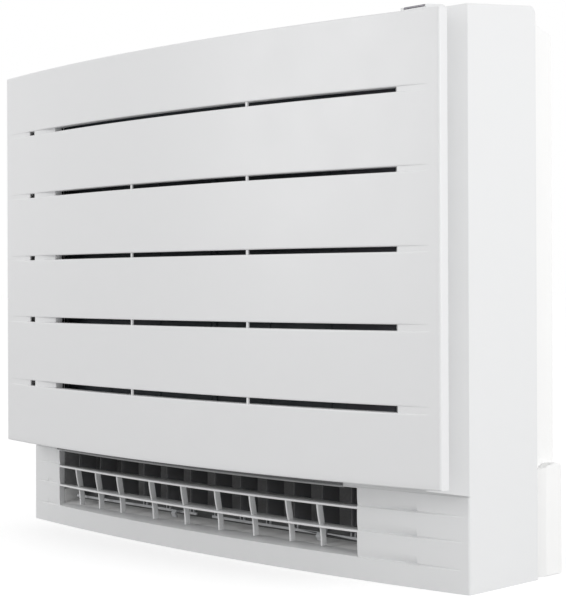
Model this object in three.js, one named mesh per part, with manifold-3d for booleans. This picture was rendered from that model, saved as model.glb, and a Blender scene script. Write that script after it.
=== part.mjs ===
// Floor standing air conditioner: a slim cabinet that draws room air in through a slotted, bowed front
// panel, blows it over a finned coil with a turbo fan, and lets it out at the top and at the floor.
// Millimetres. +X is to the right of someone facing the unit, +Y points to the wall, +Z up.
// The origin is on the floor, under the middle of the unit's box.
import * as THREE from "three";
import { mergeVertices } from "three/addons/utils/BufferGeometryUtils.js";
import { ConvexGeometry } from "three/addons/geometries/ConvexGeometry.js";
import Module from "manifold-3d";

const wasm = await Module();
wasm.setup();

// ---- Driving dimensions ------------------------------------------------------------------------
const WIDTH = 750;
const HEIGHT = 600;
const DEPTH = 238;
const HALF = WIDTH / 2;
const FRONT_Y = -DEPTH / 2;
const REAR_Y = DEPTH / 2;
const GAP = 0.3; // clearance between pieces that touch
const WALL = 2.5; // wall of the moulded casing

// Casing
const CORNER_Y = -42; // front vertical edge of the sides
const CASING_REAR = 69;
const FRAME_FRONT_Y = -73; // plane behind the panel
const CHAMFER_X = 345; // inner end of the slanted column beside the panel
const TOP_AT_CORNER = 589.8;
const TOP_AT_FRAME = 583;
const UNDER_AT_CORNER = 98.6; // slanted underside of the upper frame
const UNDER_AT_FRAME = 104;
const REAR_ROUND = 8;
const LOWER_SAG = 26; // bow of the lower face in plan
const LOWER_CORNER_R = 3;
const LOWER_WALL = 8;
const LOWER_TOP = 106.5;
const SEAL_LEFT = -315; // recess over the outlet that holds a sealing strip
const SEAL_RIGHT = 216;
const SEAL_DEPTH = 3;

// Front panel
const PANEL_EDGE_Y = -85;
const PANEL_SAG = PANEL_EDGE_Y - FRONT_Y;
const PANEL_BOTTOM = 108;
const PANEL_TOP = 581.5;
const PANEL_RIM = 11.6;
const PANEL_SKIN = 3;
const PANEL_FOOT = 7.5; // solid strip along the lower edge
const SLOTS = [[504.2, 5.1], [424.7, 5.4], [345.1, 5.4], [266.9, 6.4], [185.6, 6.9]]; // middle, height
const SLOT_LIP = 2.2;
const SLOT_LEFT = -240;
const SLOT_RIGHT = 324.5;
const BRIDGE_LEFT = -71;
const BRIDGE_RIGHT = 126;
const BRIDGE = 2.8;
const PANEL_HINGE_Y = -78;
const PANEL_HINGE_Z = 114;
const PANEL_EAR_X = 297;

// Air openings
const INTAKE_LEFT = -265;
const INTAKE_RIGHT = 306;
const INTAKE_BOTTOM = 122;
const INTAKE_TOP = 566;
const DUCT_LEFT = -308;
const DUCT_RIGHT = 235;
const DUCT_MIDDLE = (DUCT_LEFT + DUCT_RIGHT) / 2;
const OUTLET_BOTTOM = 28;
const OUTLET_TOP = 96.3;
const LIP_HEIGHT = 2.4;
const LIP_TOPS = [76.3, 51.8]; // tops of the two grille bars
const GROOVE_FEET = [75.4, 50.3, 22.2]; // lower edges of the grooves beside the outlet
const GRILLE_BACK_Y = -42;
const RIB_XS = [-268, -221.5, -173, -105, -43.5, 17, 75, 132, 178];
const TAB_XS = [-84, 163]; // finger tabs of the two lower tie bars
const TOP_OUTLET_FRONT = -38;
const TOP_OUTLET_REAR = 38.6;

// Fan and duct
const FAN_Z = 345;
const FAN_R = 165;
const FAN_EYE_R = 121;
const BLADES = 9;
const BACK_Y = 113; // inner face of the rear wall
const BELL_Y = -14;
const FLOOR_CURVE = [
  [-42, 27], [-20, 29.5], [8, 40], [36, 62], [56, 95], [66, 130], [70, 165], [84, 200], [113, 232],
];

// Moving louvres
const FLAP_AXIS = [35, 594.3];
const TOP_SLOPE = Math.atan((HEIGHT - TOP_AT_CORNER) / (CASING_REAR - REAR_ROUND - CORNER_Y));
const DAMPER_AXIS = [-2, 152];
const DAMPER_LENGTH = 60;
const LOWER_VANES = { perGroup: 6, pitch: 44.5, axisY: -20, front: -18, back: 8, low: 40, high: 94 };
const UPPER_VANES = { perGroup: 4, pitch: 66, axisY: 14, front: -20, back: 26, low: 530.5, high: 572 };
const VANE_THICK = 1.6;
const FINGER_GAP = 2.3;

// ---- Finishes ----------------------------------------------------------------------------------
const finish = (color, roughness, metalness) =>
  new THREE.MeshStandardMaterial({ color, roughness, metalness });
const WHITE = finish(0xe4e5e6, 0.45, 0);
const FRAME_WHITE = finish(0xeeeeec, 0.6, 0);
const DARK = finish(0x2c2d30, 0.6, 0);
const GREY = finish(0x8b8e92, 0.5, 0);
const STEEL = finish(0xb9bcc0, 0.4, 0.9);
const FIN_METAL = finish(0xaab4bd, 0.35, 0.9);
const COPPER = finish(0xb46a45, 0.35, 0.95);
const BRASS = finish(0xc2a14f, 0.35, 0.95);
const BOARD = finish(0x2f6b45, 0.5, 0);
const FOAM = finish(0xd9d9d4, 0.9, 0);

// ---- Solid helpers -----------------------------------------------------------------------------
function solid(geometry) {
  const loose = geometry.index ? geometry.toNonIndexed() : geometry.clone();
  loose.deleteAttribute("normal");
  loose.deleteAttribute("uv");
  const merged = mergeVertices(loose, 1e-4);
  const kept = [];
  const index = merged.index.array;
  for (let i = 0; i < index.length; i += 3) {
    const [a, b, c] = [index[i], index[i + 1], index[i + 2]];
    if (a !== b && b !== c && c !== a) kept.push(a, b, c);
  }
  const vertProperties = merged.attributes.position.array;
  return new wasm.Manifold(
    new wasm.Mesh({ numProp: 3, vertProperties, triVerts: new Uint32Array(kept) }),
  );
}

function union(...solids) {
  return solids.flat().reduce((all, one) => all.add(one));
}

function cut(body, ...tools) {
  return tools.flat().reduce((all, one) => all.subtract(one), body);
}

function box(x0, x1, y0, y1, z0, z1) {
  const geometry = new THREE.BoxGeometry(x1 - x0, y1 - y0, z1 - z0);
  return solid(geometry.translate((x0 + x1) / 2, (y0 + y1) / 2, (z0 + z1) / 2));
}

function extrude(points, depth) {
  const shape = new THREE.Shape(points.map(([u, v]) => new THREE.Vector2(u, v)));
  return new THREE.ExtrudeGeometry(shape, { depth, bevelEnabled: false });
}

// A plan outline (x, y) raised from z0 to z1.
function extrudeZ(points, z0, z1) {
  return solid(extrude(points, z1 - z0).translate(0, 0, z0));
}

// A side outline (y, z) drawn out from x0 to x1.
function extrudeX(points, x0, x1) {
  const turn = new THREE.Matrix4().makeBasis(
    new THREE.Vector3(0, 1, 0),
    new THREE.Vector3(0, 0, 1),
    new THREE.Vector3(1, 0, 0),
  );
  return solid(extrude(points, x1 - x0).applyMatrix4(turn).translate(x0, 0, 0));
}

// A front outline (x, z) drawn out from y0 to y1.
function extrudeY(points, y0, y1) {
  return solid(extrude(points, y1 - y0).rotateX(Math.PI / 2).translate(0, y1, 0));
}

// A profile of (radius, y) points turned round the Y axis.
function latheY(profile, segments) {
  const points = profile.map(([r, y]) => new THREE.Vector2(r, y));
  return solid(new THREE.LatheGeometry(points, segments));
}

function discX(radius, x0, x1, y, z, segments = 12) {
  const geometry = new THREE.CylinderGeometry(radius, radius, x1 - x0, segments);
  return solid(geometry.rotateZ(Math.PI / 2).translate((x0 + x1) / 2, y, z));
}

function discY(radius, y0, y1, x, z, segments = 12) {
  const geometry = new THREE.CylinderGeometry(radius, radius, y1 - y0, segments);
  return solid(geometry.translate(x, (y0 + y1) / 2, z));
}

function discZ(radius, z0, z1, x, y, segments = 12) {
  const geometry = new THREE.CylinderGeometry(radius, radius, z1 - z0, segments);
  return solid(geometry.rotateX(Math.PI / 2).translate(x, y, (z0 + z1) / 2));
}

function hull(points) {
  return solid(new ConvexGeometry(points.map((p) => new THREE.Vector3(...p))));
}

function pipe(radius, route, steps, sides = 8) {
  const curve = new THREE.CatmullRomCurve3(route.map((p) => new THREE.Vector3(...p)), false, "centripetal");
  const section = new THREE.Shape();
  section.absarc(0, 0, radius, 0, 2 * Math.PI, false);
  return solid(new THREE.ExtrudeGeometry(section, { steps, extrudePath: curve, curveSegments: sides / 2 }));
}

const times = (count, make) => Array.from({ length: count }, (_, i) => make(i));
const mirrorX = (points) => points.map(([x, ...rest]) => [-x, ...rest]);

const unit = new THREE.Group();

function place(name, body, material, position = [0, 0, 0], group = unit) {
  const made = body.getMesh();
  const geometry = new THREE.BufferGeometry();
  geometry.setAttribute("position", new THREE.BufferAttribute(made.vertProperties, 3));
  geometry.setIndex(new THREE.BufferAttribute(made.triVerts, 1));
  const mesh = new THREE.Mesh(geometry.toNonIndexed(), material);
  mesh.geometry.computeVertexNormals();
  mesh.name = name;
  mesh.position.set(...position);
  group.add(mesh);
  return mesh;
}

// ---- Shared curves -----------------------------------------------------------------------------
const panelY = (x) => PANEL_EDGE_Y - PANEL_SAG * (1 - (x / HALF) ** 2);
const lowerY = (x) => CORNER_Y - LOWER_SAG * (1 - (x / HALF) ** 2);
const bow = (curve, x0, x1, count, shift = 0) =>
  times(count + 1, (i) => x0 + ((x1 - x0) * i) / count).map((x) => [x, curve(x) + shift]);

function topZ(y) {
  if (y < CORNER_Y) {
    return TOP_AT_CORNER - ((CORNER_Y - y) * (TOP_AT_CORNER - TOP_AT_FRAME)) / (CORNER_Y - FRAME_FRONT_Y);
  }
  return Math.min(HEIGHT, TOP_AT_CORNER + (y - CORNER_Y) * Math.tan(TOP_SLOPE));
}

// ---- Front casing: sides, sloping top, slanted columns and the lower face in one moulding --------
function upperPlan(inset, rear) {
  const corner = inset * Math.tan(Math.PI / 8);
  const right = [
    [HALF - inset, rear],
    [HALF - inset, CORNER_Y + corner],
    [CHAMFER_X - corner, FRAME_FRONT_Y + inset],
  ];
  return [...mirrorX(right), ...right.reverse()];
}

function lowerPlan(inset, wall, rear) {
  const side = HALF - inset;
  const r = LOWER_CORNER_R - inset;
  const centre = [side - r, lowerY(side - r) + wall + r];
  const corner = times(5, (i) => (-i * 80 * Math.PI) / (4 * 180)).map((a) => [
    centre[0] + r * Math.cos(a),
    centre[1] + r * Math.sin(a),
  ]);
  const left = mirrorX(corner);
  const front = bow(lowerY, -side + r, side - r, 24, wall);
  return [[-side, rear], ...left, ...front.slice(1, -1), ...corner.reverse(), [side, rear]];
}

function roofLine(drop, rear) {
  const front = FRONT_Y - 10;
  return [
    [front, topZ(front) - drop],
    [CORNER_Y, TOP_AT_CORNER - drop],
    [CASING_REAR - REAR_ROUND, HEIGHT - drop],
    ...(drop
      ? [[rear, HEIGHT - drop]]
      : times(4, (i) => ((i + 1) * Math.PI) / 8).map((a) => [
          CASING_REAR - REAR_ROUND + REAR_ROUND * Math.sin(a),
          HEIGHT - REAR_ROUND + REAR_ROUND * Math.cos(a),
        ])),
  ];
}

function underLine(lift, rear) {
  const slope = (UNDER_AT_FRAME - UNDER_AT_CORNER) / (CORNER_Y - FRAME_FRONT_Y);
  const front = FRONT_Y - 10;
  return [
    [rear, UNDER_AT_CORNER + lift],
    [CORNER_Y, UNDER_AT_CORNER + lift],
    [front, UNDER_AT_CORNER + lift + (CORNER_Y - front) * slope],
  ];
}

function casingBody(inset, wall, rear, floor) {
  const upper = extrudeZ(upperPlan(inset, rear), UNDER_AT_CORNER - 1, HEIGHT + 1).intersect(
    extrudeX([...roofLine(inset, rear), ...underLine(inset, rear)], -HALF, HALF),
  );
  const lower = extrudeZ(lowerPlan(inset, wall, rear), floor, LOWER_TOP - inset);
  return upper.add(lower);
}

// Beside the outlet the face curves in above each lip, and the groove runs out to a fine line at the corner.
function lipGrooves() {
  const deep = { depth: 3.2, rise: 3.2 };
  const shallow = { depth: 1.2, rise: 1.8 };
  const between = (ends, section) =>
    hull(ends.flatMap(([x, g]) => section(g).map(([d, z]) => [x, lowerY(x) + d, z])));
  const pocket = (foot, ends) => [
    between(ends, (g) => [[-3, foot], [-3, foot + 14], [0, foot], [0, foot + 14], [0.3 * g.depth, foot + 9.5]]),
    between(ends, (g) => [
      [-3, foot], [-3, foot + 9.5], [0, foot], [g.depth, foot + g.rise], [0.3 * g.depth, foot + 9.5],
    ]),
  ];
  const line = (foot, ends) =>
    between(ends, (depth) => [[-3, foot], [-3, foot + 1.8], [0, foot], [0, foot + 1.8], [depth, foot + 0.9]]);
  return GROOVE_FEET.flatMap((foot) => [
    ...pocket(foot, [[DUCT_RIGHT + 2, shallow], [311, deep]]),
    ...pocket(foot, [[DUCT_LEFT - 2, shallow], [-338, deep]]),
    line(foot, [[310, 0.8], [366, 0.3]]),
    line(foot, [[-337, 0.8], [-366, 0.3]]),
  ]);
}

function frontCasing() {
  const outer = casingBody(0, 0, CASING_REAR, 0);
  const inner = casingBody(WALL, LOWER_WALL, CASING_REAR + 20, -5);
  const sill = extrudeZ(
    [...bow(lowerY, DUCT_LEFT - 4, DUCT_RIGHT + 4, 16, LOWER_WALL - 1),
      [DUCT_RIGHT + 4, GRILLE_BACK_Y - GAP], [DUCT_LEFT - 4, GRILLE_BACK_Y - GAP]],
    24,
    27,
  );
  const ears = [-1, 1].map((side) => {
    const x0 = Math.min(side * PANEL_EAR_X, side * (PANEL_EAR_X + 4));
    return box(x0, x0 + 4, PANEL_HINGE_Y - 5, FRAME_FRONT_Y + 1, PANEL_HINGE_Z - 5, PANEL_HINGE_Z + 5);
  });
  const flapEars = [
    [DUCT_LEFT - 6, DUCT_LEFT],
    [DUCT_RIGHT, DUCT_RIGHT + 6],
  ].map(([x0, x1]) => box(x0, x1, FLAP_AXIS[0] - 5, FLAP_AXIS[0] + 5, FLAP_AXIS[1] - 5, topZ(30) - 1));
  const shell = union(cut(outer, inner), sill, ears, flapEars);
  const sillXs = times(9, (i) => DUCT_LEFT + ((DUCT_RIGHT - DUCT_LEFT) * i) / 8);
  const sillChamfer = sillXs.slice(1).map((end, i) =>
    hull([sillXs[i], end].flatMap((x) => [
      [x, lowerY(x) - 2, 23.3],
      [x, lowerY(x) - 2, 40],
      [x, lowerY(x) + 8.4, 27],
      [x, lowerY(x) + 8.4, 40],
    ])),
  );
  const seal = extrudeZ(
    [...bow(lowerY, SEAL_LEFT, SEAL_RIGHT, 16, SEAL_DEPTH), [SEAL_RIGHT, FRONT_Y], [SEAL_LEFT, FRONT_Y]],
    OUTLET_TOP,
    LOWER_TOP + 1,
  );
  return cut(
    shell,
    seal,
    box(INTAKE_LEFT, INTAKE_RIGHT, FRONT_Y, -60, INTAKE_BOTTOM, INTAKE_TOP),
    box(-338, -314, FRONT_Y, -60, 150, 550),
    box(DUCT_LEFT, DUCT_RIGHT, FRONT_Y, -30, OUTLET_BOTTOM, OUTLET_TOP),
    box(DUCT_LEFT, DUCT_RIGHT, TOP_OUTLET_FRONT, TOP_OUTLET_REAR, 560, HEIGHT + 5),
    box(POD.x0 - GAP, POD.x1 + GAP, POD.y0 - GAP, POD.y1 + GAP, 570, HEIGHT + 5),
    box(BUTTON.x0 - GAP, BUTTON.x1 + GAP, BUTTON.y0 - GAP, BUTTON.y1 + GAP, 560, HEIGHT + 5),
    sillChamfer,
    lipGrooves(),
    [-1, 1].map((side) => {
      const x = side * (PANEL_EAR_X + 2);
      return discX(2.8, x - 4, x + 4, PANEL_HINGE_Y, PANEL_HINGE_Z);
    }),
    discX(1.8, DUCT_LEFT - 7, DUCT_LEFT + 1, ...FLAP_AXIS),
    discX(1.8, DUCT_RIGHT - 1, DUCT_RIGHT + 7, ...FLAP_AXIS),
    SCREW_XS.map((x) => discY(2.2, FRAME_FRONT_Y - 1, FRAME_FRONT_Y + 5, x, SCREW_Z)),
  );
}

// ---- Lower outlet grille: two bowed bars tied by curved upright ribs -----------------------------
function outletGrille() {
  const left = DUCT_LEFT + GAP;
  const right = DUCT_RIGHT - GAP;
  const bars = LIP_TOPS.map((top) =>
    extrudeZ(
      [...bow(lowerY, left, right, 20), [right, GRILLE_BACK_Y], [left, GRILLE_BACK_Y]],
      top - LIP_HEIGHT,
      top,
    ),
  );
  const ribs = RIB_XS.map((x) => {
    const y = lowerY(x);
    const side = [
      [1, 75], [2.2, 66], [4, 57], [6, 50], [7.4, 40], [8, OUTLET_BOTTOM + GAP],
      [15.5, OUTLET_BOTTOM + GAP], [13, 50], [8.6, 75],
    ].map(([dy, z]) => [y + dy, z]);
    return extrudeX(side.reverse(), x - 1.5, x + 1.5);
  });
  return union(bars, ribs);
}

// ---- Front panel: bowed shell in six bands, parted by five intake slots --------------------------
function frontPanel() {
  const count = 20;
  const chamfer = 2;
  const outline = [
    [-HALF, PANEL_EDGE_Y + PANEL_RIM],
    [-HALF, PANEL_EDGE_Y + chamfer],
    ...bow(panelY, -HALF + chamfer, HALF - chamfer, count),
    [HALF, PANEL_EDGE_Y + chamfer],
    [HALF, PANEL_EDGE_Y + PANEL_RIM],
    ...bow(panelY, -HALF + chamfer, HALF - chamfer, count, PANEL_RIM).slice(1, -1).reverse(),
  ];
  const blank = extrudeZ(outline, PANEL_BOTTOM, PANEL_TOP);
  const inside = HALF - PANEL_SKIN;
  const hollow = (z0, z1) =>
    extrudeZ(
      [...bow(panelY, -inside, inside, count, PANEL_SKIN), [inside, -60], [-inside, -60]],
      z0,
      z1,
    );
  const bandTops = [PANEL_TOP - PANEL_SKIN, ...SLOTS.map(([z, height]) => z - height / 2 - SLOT_LIP)];
  const bandFeet = [...SLOTS.map(([z, height]) => z + height / 2 + SLOT_LIP), PANEL_BOTTOM + PANEL_FOOT];
  const hollows = bandTops.map((top, i) => hollow(bandFeet[i], top));
  const slots = SLOTS.flatMap(([z, height], i) => {
    const stops = [SLOT_LEFT, ...(i ? [BRIDGE_LEFT] : []), BRIDGE_RIGHT, SLOT_RIGHT];
    return stops.slice(1).map((stop, k) => {
      const x0 = stops[k] + (k ? BRIDGE / 2 : 0);
      const x1 = stop - (k < stops.length - 2 ? BRIDGE / 2 : 0);
      return box(x0, x1, FRONT_Y - 5, -60, z - height / 2, z + height / 2);
    });
  });
  const hinges = [-1, 1].map((side) => {
    const lug = PANEL_EAR_X + 4.4;
    const disc = times(9, (i) => ((i - 4) * Math.PI) / 8).map((a) => [
      PANEL_HINGE_Y + 4.4 * Math.cos(a),
      PANEL_HINGE_Z + 4.4 * Math.sin(a),
    ]);
    const arm = [...disc, [-90, PANEL_HINGE_Z + 4.4], [-90, PANEL_HINGE_Z - 4.4]];
    const [x0, x1] = side > 0 ? [lug, lug + 3] : [-lug - 3, -lug];
    const [p0, p1] = side > 0 ? [PANEL_EAR_X - 1, lug + 1] : [-lug - 1, 1 - PANEL_EAR_X];
    return union(extrudeX(arm, x0, x1), discX(2.4, p0, p1, PANEL_HINGE_Y, PANEL_HINGE_Z));
  });
  return union(cut(blank, hollows, slots), hinges);
}

// ---- Rear frame: back tray, base, duct side walls, curved duct floor, louvre carriers ------------
function thickLine(line, thick) {
  const under = line.map(([y, z], i) => {
    const a = line[Math.max(i - 1, 0)];
    const b = line[Math.min(i + 1, line.length - 1)];
    const length = Math.hypot(b[0] - a[0], b[1] - a[1]);
    return [y + (thick * (b[1] - a[1])) / length, z - (thick * (b[0] - a[0])) / length];
  });
  return [...line, ...under.reverse()].reverse();
}

function vaneXs(v) {
  return times(2 * v.perGroup, (i) => DUCT_MIDDLE + (i - v.perGroup + 0.5) * v.pitch);
}

function rearFrame() {
  const tray = cut(
    extrudeX([[30, 3], [116.5, 3], [116.5, 577], [89, 586], [30, 586]], -360, 360),
    extrudeX([[29, 6], [BACK_Y, 6], [BACK_Y, 574.6], [88.2, 583], [29, 583]], -357, 357),
    box(DUCT_LEFT, DUCT_RIGHT, 25, 43, 580, 590),
    box(-365, 365, 92, 108, 25, 90),
  );
  const base = box(-360, 360, -30, 116.5, 0, 4);
  const sideWall = [
    [BACK_Y + 1, 3], [BACK_Y + 1, 575], [88, 584], [GRILLE_BACK_Y, 584], [GRILLE_BACK_Y, 563], [-10, 563],
    [-10, 109.7], [GRILLE_BACK_Y + GAP, 109.7], [GRILLE_BACK_Y + GAP, 30], [-30, 3],
  ];
  const walls = [DUCT_LEFT - 3, DUCT_RIGHT].map((x) => extrudeX(sideWall.toReversed(), x, x + 3));
  const across = (outline) => extrudeX(outline, DUCT_LEFT - 1, DUCT_RIGHT + 1);
  const floor = across(thickLine(FLOOR_CURVE, 3));
  const midRib = extrudeX([[-30, 3], [70, 3], [66, 110], [30, 52], [-20, 27], [-30, 26]], -1.5, 1.5);
  const lowerCarrier = box(DUCT_LEFT - 1, DUCT_RIGHT + 1, GRILLE_BACK_Y + GAP, -12, 99.5, 102.5);
  const upperCarrier = box(DUCT_LEFT - 1, DUCT_RIGHT + 1, 8, 20, 522, 526);
  const upperFront = across([[-40, 585], [-43, 585], [-18, 563.2], [-12, 563.2], [-15, 565]].reverse());
  const upperBack = across([[BACK_Y + 1, 498], [BACK_Y + 1, 502], [46, 584], [42, 584]]);
  const pedestal = discY(30, 93, BACK_Y + 1, DUCT_MIDDLE, FAN_Z, 16);
  const rods = [
    ...vaneXs(LOWER_VANES).map((x) => discZ(2.5, 98, 104, x, LOWER_VANES.axisY, 8)),
    ...vaneXs(UPPER_VANES).map((x) => discZ(2.5, 520, 528, x, UPPER_VANES.axisY, 8)),
  ];
  return cut(
    union(tray, base, walls, floor, midRib, lowerCarrier, upperCarrier, upperFront, upperBack, pedestal),
    rods,
    box(DUCT_LEFT - 5, DUCT_RIGHT + 5, 85, 105, 20, 90),
    box(DUCT_LEFT - 5, DUCT_RIGHT + 5, 95, 108, 540, 570),
    box(262, 345, 100, 130, 25, 150),
    box(262, 345, 15, 95, -5, 10),
    box(-348, -315, 100, 130, 25, 150),
    discX(2.5, DUCT_LEFT - 5, DUCT_LEFT + 1, ...DAMPER_AXIS),
    discX(2.5, DUCT_RIGHT - 1, DUCT_RIGHT + 5, ...DAMPER_AXIS),
  );
}

// Knock-out cover over the side way in for the pipes, on the foot of the rear frame.
function pipingCover(side) {
  const outline = [
    [70.5, 0], [118, 0], [118, 117], [110, 119], [97, 119], [89, 115], [70.5, 113],
  ];
  const flush = extrudeX(outline, 360 + GAP, 370);
  const slope = hull([-1, 120].flatMap((z) => [[361.3, 70, z], [371, 70, z], [370, 91, z], [371, 91, z]]));
  const eased = cut(flush, slope);
  return side > 0 ? eased : eased.mirror([1, 0, 0]);
}

// Steel plate that is screwed to the wall and hooks into the back of the unit.
function wallBracket() {
  const plate = box(-300, 300, 117, REAR_Y, 430, 520);
  const lip = box(-300, 300, 117, REAR_Y, 519, 526);
  const holes = [-260, -130, 130, 260].flatMap((x) => [
    discY(4, 110, 125, x, 500, 10),
    box(x - 15, x + 15, 110, 125, 450, 458),
  ]);
  return cut(union(plate, lip), holes, box(-60, 60, 110, 125, 455, 495));
}

// ---- Coil -------------------------------------------------------------------------------------
const COIL = { x0: -262, x1: 292, y0: -56, y1: -24, z0: 147, z1: 560 };

function coil() {
  const grooves = times(11, (i) => COIL.z0 + 20 + i * 36).map((z) =>
    box(COIL.x0 - 1, COIL.x1 + 1, COIL.y0 - 1, COIL.y0 + 1.2, z, z + 3),
  );
  return cut(box(COIL.x0, COIL.x1, COIL.y0, COIL.y1, COIL.z0, COIL.z1), grooves);
}

function returnBend(x, side, z) {
  const arc = times(5, (i) => (i * Math.PI) / 4).map((a) => [
    x + side * (2 + 9 * Math.sin(a)),
    -40,
    z + 9 * Math.cos(a),
  ]);
  return pipe(3.4, [[x - side, -40, z + 9], ...arc, [x - side, -40, z - 9]], 6, 6);
}

function tubePlate(side) {
  const face = side < 0 ? COIL.x0 - GAP : COIL.x1 + GAP;
  const [x0, x1] = side < 0 ? [face - 2, face] : [face, face + 2];
  const plate = box(x0, x1, COIL.y0 - 2, BELL_Y - GAP, COIL.z0 - 2, COIL.z1 + 1);
  const first = side < 0 ? 186 : 250;
  const bends = times(side < 0 ? 6 : 5, (i) => returnBend(side < 0 ? x0 : x1, side, first + i * 62));
  return union(plate, bends);
}

const GAS_ROUTE = [
  [296.8, -48, 190], [303, -48, 190], [309, -44, 189], [311, -20, 184], [309, 5, 166],
  [298, 28, 130], [285, 42, 98], [281, 45, 78], [281, 45, 62.3],
];
const LIQUID_ROUTE = [
  [296.8, -32, 165], [301, -32, 165], [305, -28, 164.5], [308, -5, 156], [309, 20, 126],
  [308, 40, 95], [307, 45, 78], [307, 45, 62.3],
];

function flareNut(flats) {
  const geometry = new THREE.CylinderGeometry(flats / Math.sqrt(3), flats / Math.sqrt(3), 22, 6);
  const nut = solid(geometry.rotateX(Math.PI / 2));
  return cut(nut, discZ(flats * 0.3, -12, 6, 0, 0, 12));
}

function drainPan() {
  const body = box(-300, 312, -66, BELL_Y - GAP, 110, 144);
  return cut(body, box(-297.5, 309.5, -63.5, BELL_Y - 2.8, 113, 150));
}

function drainNipple() {
  const rings = union(discZ(11, 107, 109.7, 0, 0, 16), discZ(8, 84, 108, 0, 0, 16), discZ(9, 88, 91, 0, 0, 16));
  return cut(rings, discZ(6, 80, 106, 0, 0, 12));
}

// ---- Filters ----------------------------------------------------------------------------------
function airFilter(width, height) {
  const sheet = box(0, width, 2, 3, 0, height);
  const rims = [
    box(0, width, 0, 5.5, 0, 7), box(0, width, 0, 5.5, height - 7, height),
    box(0, 7, 0, 5.5, 0, height), box(width - 7, width, 0, 5.5, 0, height),
  ];
  const ribs = [1, 2, 3].map((i) => box(0, width, 1, 4, (height * i) / 4 - 1.5, (height * i) / 4 + 1.5));
  const stiles = [1, 2].map((i) => box((width * i) / 3 - 1.5, (width * i) / 3 + 1.5, 1, 4, 0, height));
  return union(sheet, rims, ribs, stiles);
}

function deodorisingFilter() {
  const frame = box(-200, -40, -66, -61, 180, 480);
  const pockets = times(3, (i) => box(-195, -45, -67, -62.5, 186 + i * 98, 278 + i * 98));
  return cut(frame, pockets);
}

// ---- Fan ----------------------------------------------------------------------------------------
function bellMouth() {
  const plate = box(DUCT_LEFT - 3, DUCT_RIGHT + 3, BELL_Y, BELL_Y + 3, 145.5, 562);
  const opened = cut(plate, discY(FAN_EYE_R + 12, -30, 10, DUCT_MIDDLE, FAN_Z, 22));
  const ring = [
    [FAN_EYE_R + 16, BELL_Y + 0.6], [FAN_EYE_R + 16, BELL_Y + 2.4], [FAN_EYE_R + 4, BELL_Y + 4.4],
    [FAN_EYE_R - 2, BELL_Y + 7.4], [FAN_EYE_R - 3.5, BELL_Y + 15], [FAN_EYE_R - 6, BELL_Y + 15],
    [FAN_EYE_R - 4.8, BELL_Y + 6.6], [FAN_EYE_R + 2, BELL_Y + 2.6], [FAN_EYE_R + 16, BELL_Y + 0.6],
  ];
  return opened.add(latheY(ring, 28).translate([DUCT_MIDDLE, 0, FAN_Z]));
}

function turboFan() {
  const hub = [
    [4.4, 14], [30, 14], [62, 48], [FAN_R, 48], [FAN_R, 51], [60.5, 51], [28.5, 17], [4.4, 17], [4.4, 14],
  ];
  const shroud = [
    [FAN_EYE_R + 2, -6], [FAN_EYE_R + 5, 0], [FAN_R - 14, 9], [FAN_R, 11], [FAN_R, 13.6],
    [FAN_R - 15, 11.8], [FAN_EYE_R + 3, 2.5], [FAN_EYE_R - 0.5, -6], [FAN_EYE_R + 2, -6],
  ];
  const blade = times(5, (i) => {
    const r = 92 + ((FAN_R - 1 - 92) * i) / 4;
    const a = (-38 * i * Math.PI) / (4 * 180);
    return [r * Math.cos(a), r * Math.sin(a)];
  });
  const strip = extrudeY(thickLine(blade, 2.6), 3, 49);
  const blades = times(BLADES, (i) => strip.rotate([0, (i * 360) / BLADES, 0]));
  const wheel = union(latheY(hub, 28), latheY(shroud, 28), blades);
  return cut(wheel, latheY([[0, -20], [FAN_R + 20, -20], [FAN_R + 20, -6], [0, -6]], 12));
}

function fanMotor() {
  return latheY(
    [
      [0, 58], [4.4, 58], [4.4, 22], [20, 22], [24, 28], [26, 54], [46, 56], [50, 60], [50, 88],
      [46, 92.7], [0, 92.7],
    ],
    20,
  );
}

function motorShaft() {
  const nut = solid(new THREE.CylinderGeometry(9, 9, 7.4, 6).translate(0, 9.9, 0));
  return union(discY(4, 4, 57.5, 0, 0, 14), nut);
}

// ---- Louvres ------------------------------------------------------------------------------------
// The closed flap lies flush in the sloping top and turns on a bead along its rear edge.
function upperFlap() {
  const bead = 3.1;
  const length = FLAP_AXIS[0] - TOP_OUTLET_FRONT - 0.6;
  const profile = [
    ...times(7, (i) => ((90 - i * 30) * Math.PI) / 180).map((a) => [bead * Math.cos(a), bead * Math.sin(a)]),
    [-bead * 1.1, 0],
    [-length, 0],
    [-length - 0.5, bead - 1.2],
    [-length + 1, bead],
  ];
  const blade = extrudeX(profile.reverse(), DUCT_LEFT + 0.8, DUCT_RIGHT - 0.8);
  return union(
    blade,
    discX(1.4, DUCT_LEFT - 5, DUCT_LEFT + 2, 0, 0, 8),
    discX(1.4, DUCT_RIGHT - 2, DUCT_RIGHT + 5, 0, 0, 8),
  );
}

function lowerDamper() {
  const profile = [
    ...times(7, (i) => ((i * 30) * Math.PI) / 180).map((a) => [3 * Math.cos(a), 3 * Math.sin(a)]),
    [-1.5, -2], [-1.5, -DAMPER_LENGTH], [1.5, -DAMPER_LENGTH], [1.5, -2],
  ];
  return union(
    extrudeX(profile, DUCT_LEFT + 2, DUCT_RIGHT - 2),
    discX(2, DUCT_LEFT - 2.5, DUCT_LEFT + 3, 0, 0, 8),
    discX(2, DUCT_RIGHT - 3, DUCT_RIGHT + 2.5, 0, 0, 8),
  );
}

function steppingMotor() {
  return union(discX(12, 0, 15, 0, 0, 20), discX(5, -0.4, 1, 0, 0, 12), box(2, 9, -9, 9, 8, 16));
}

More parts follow.
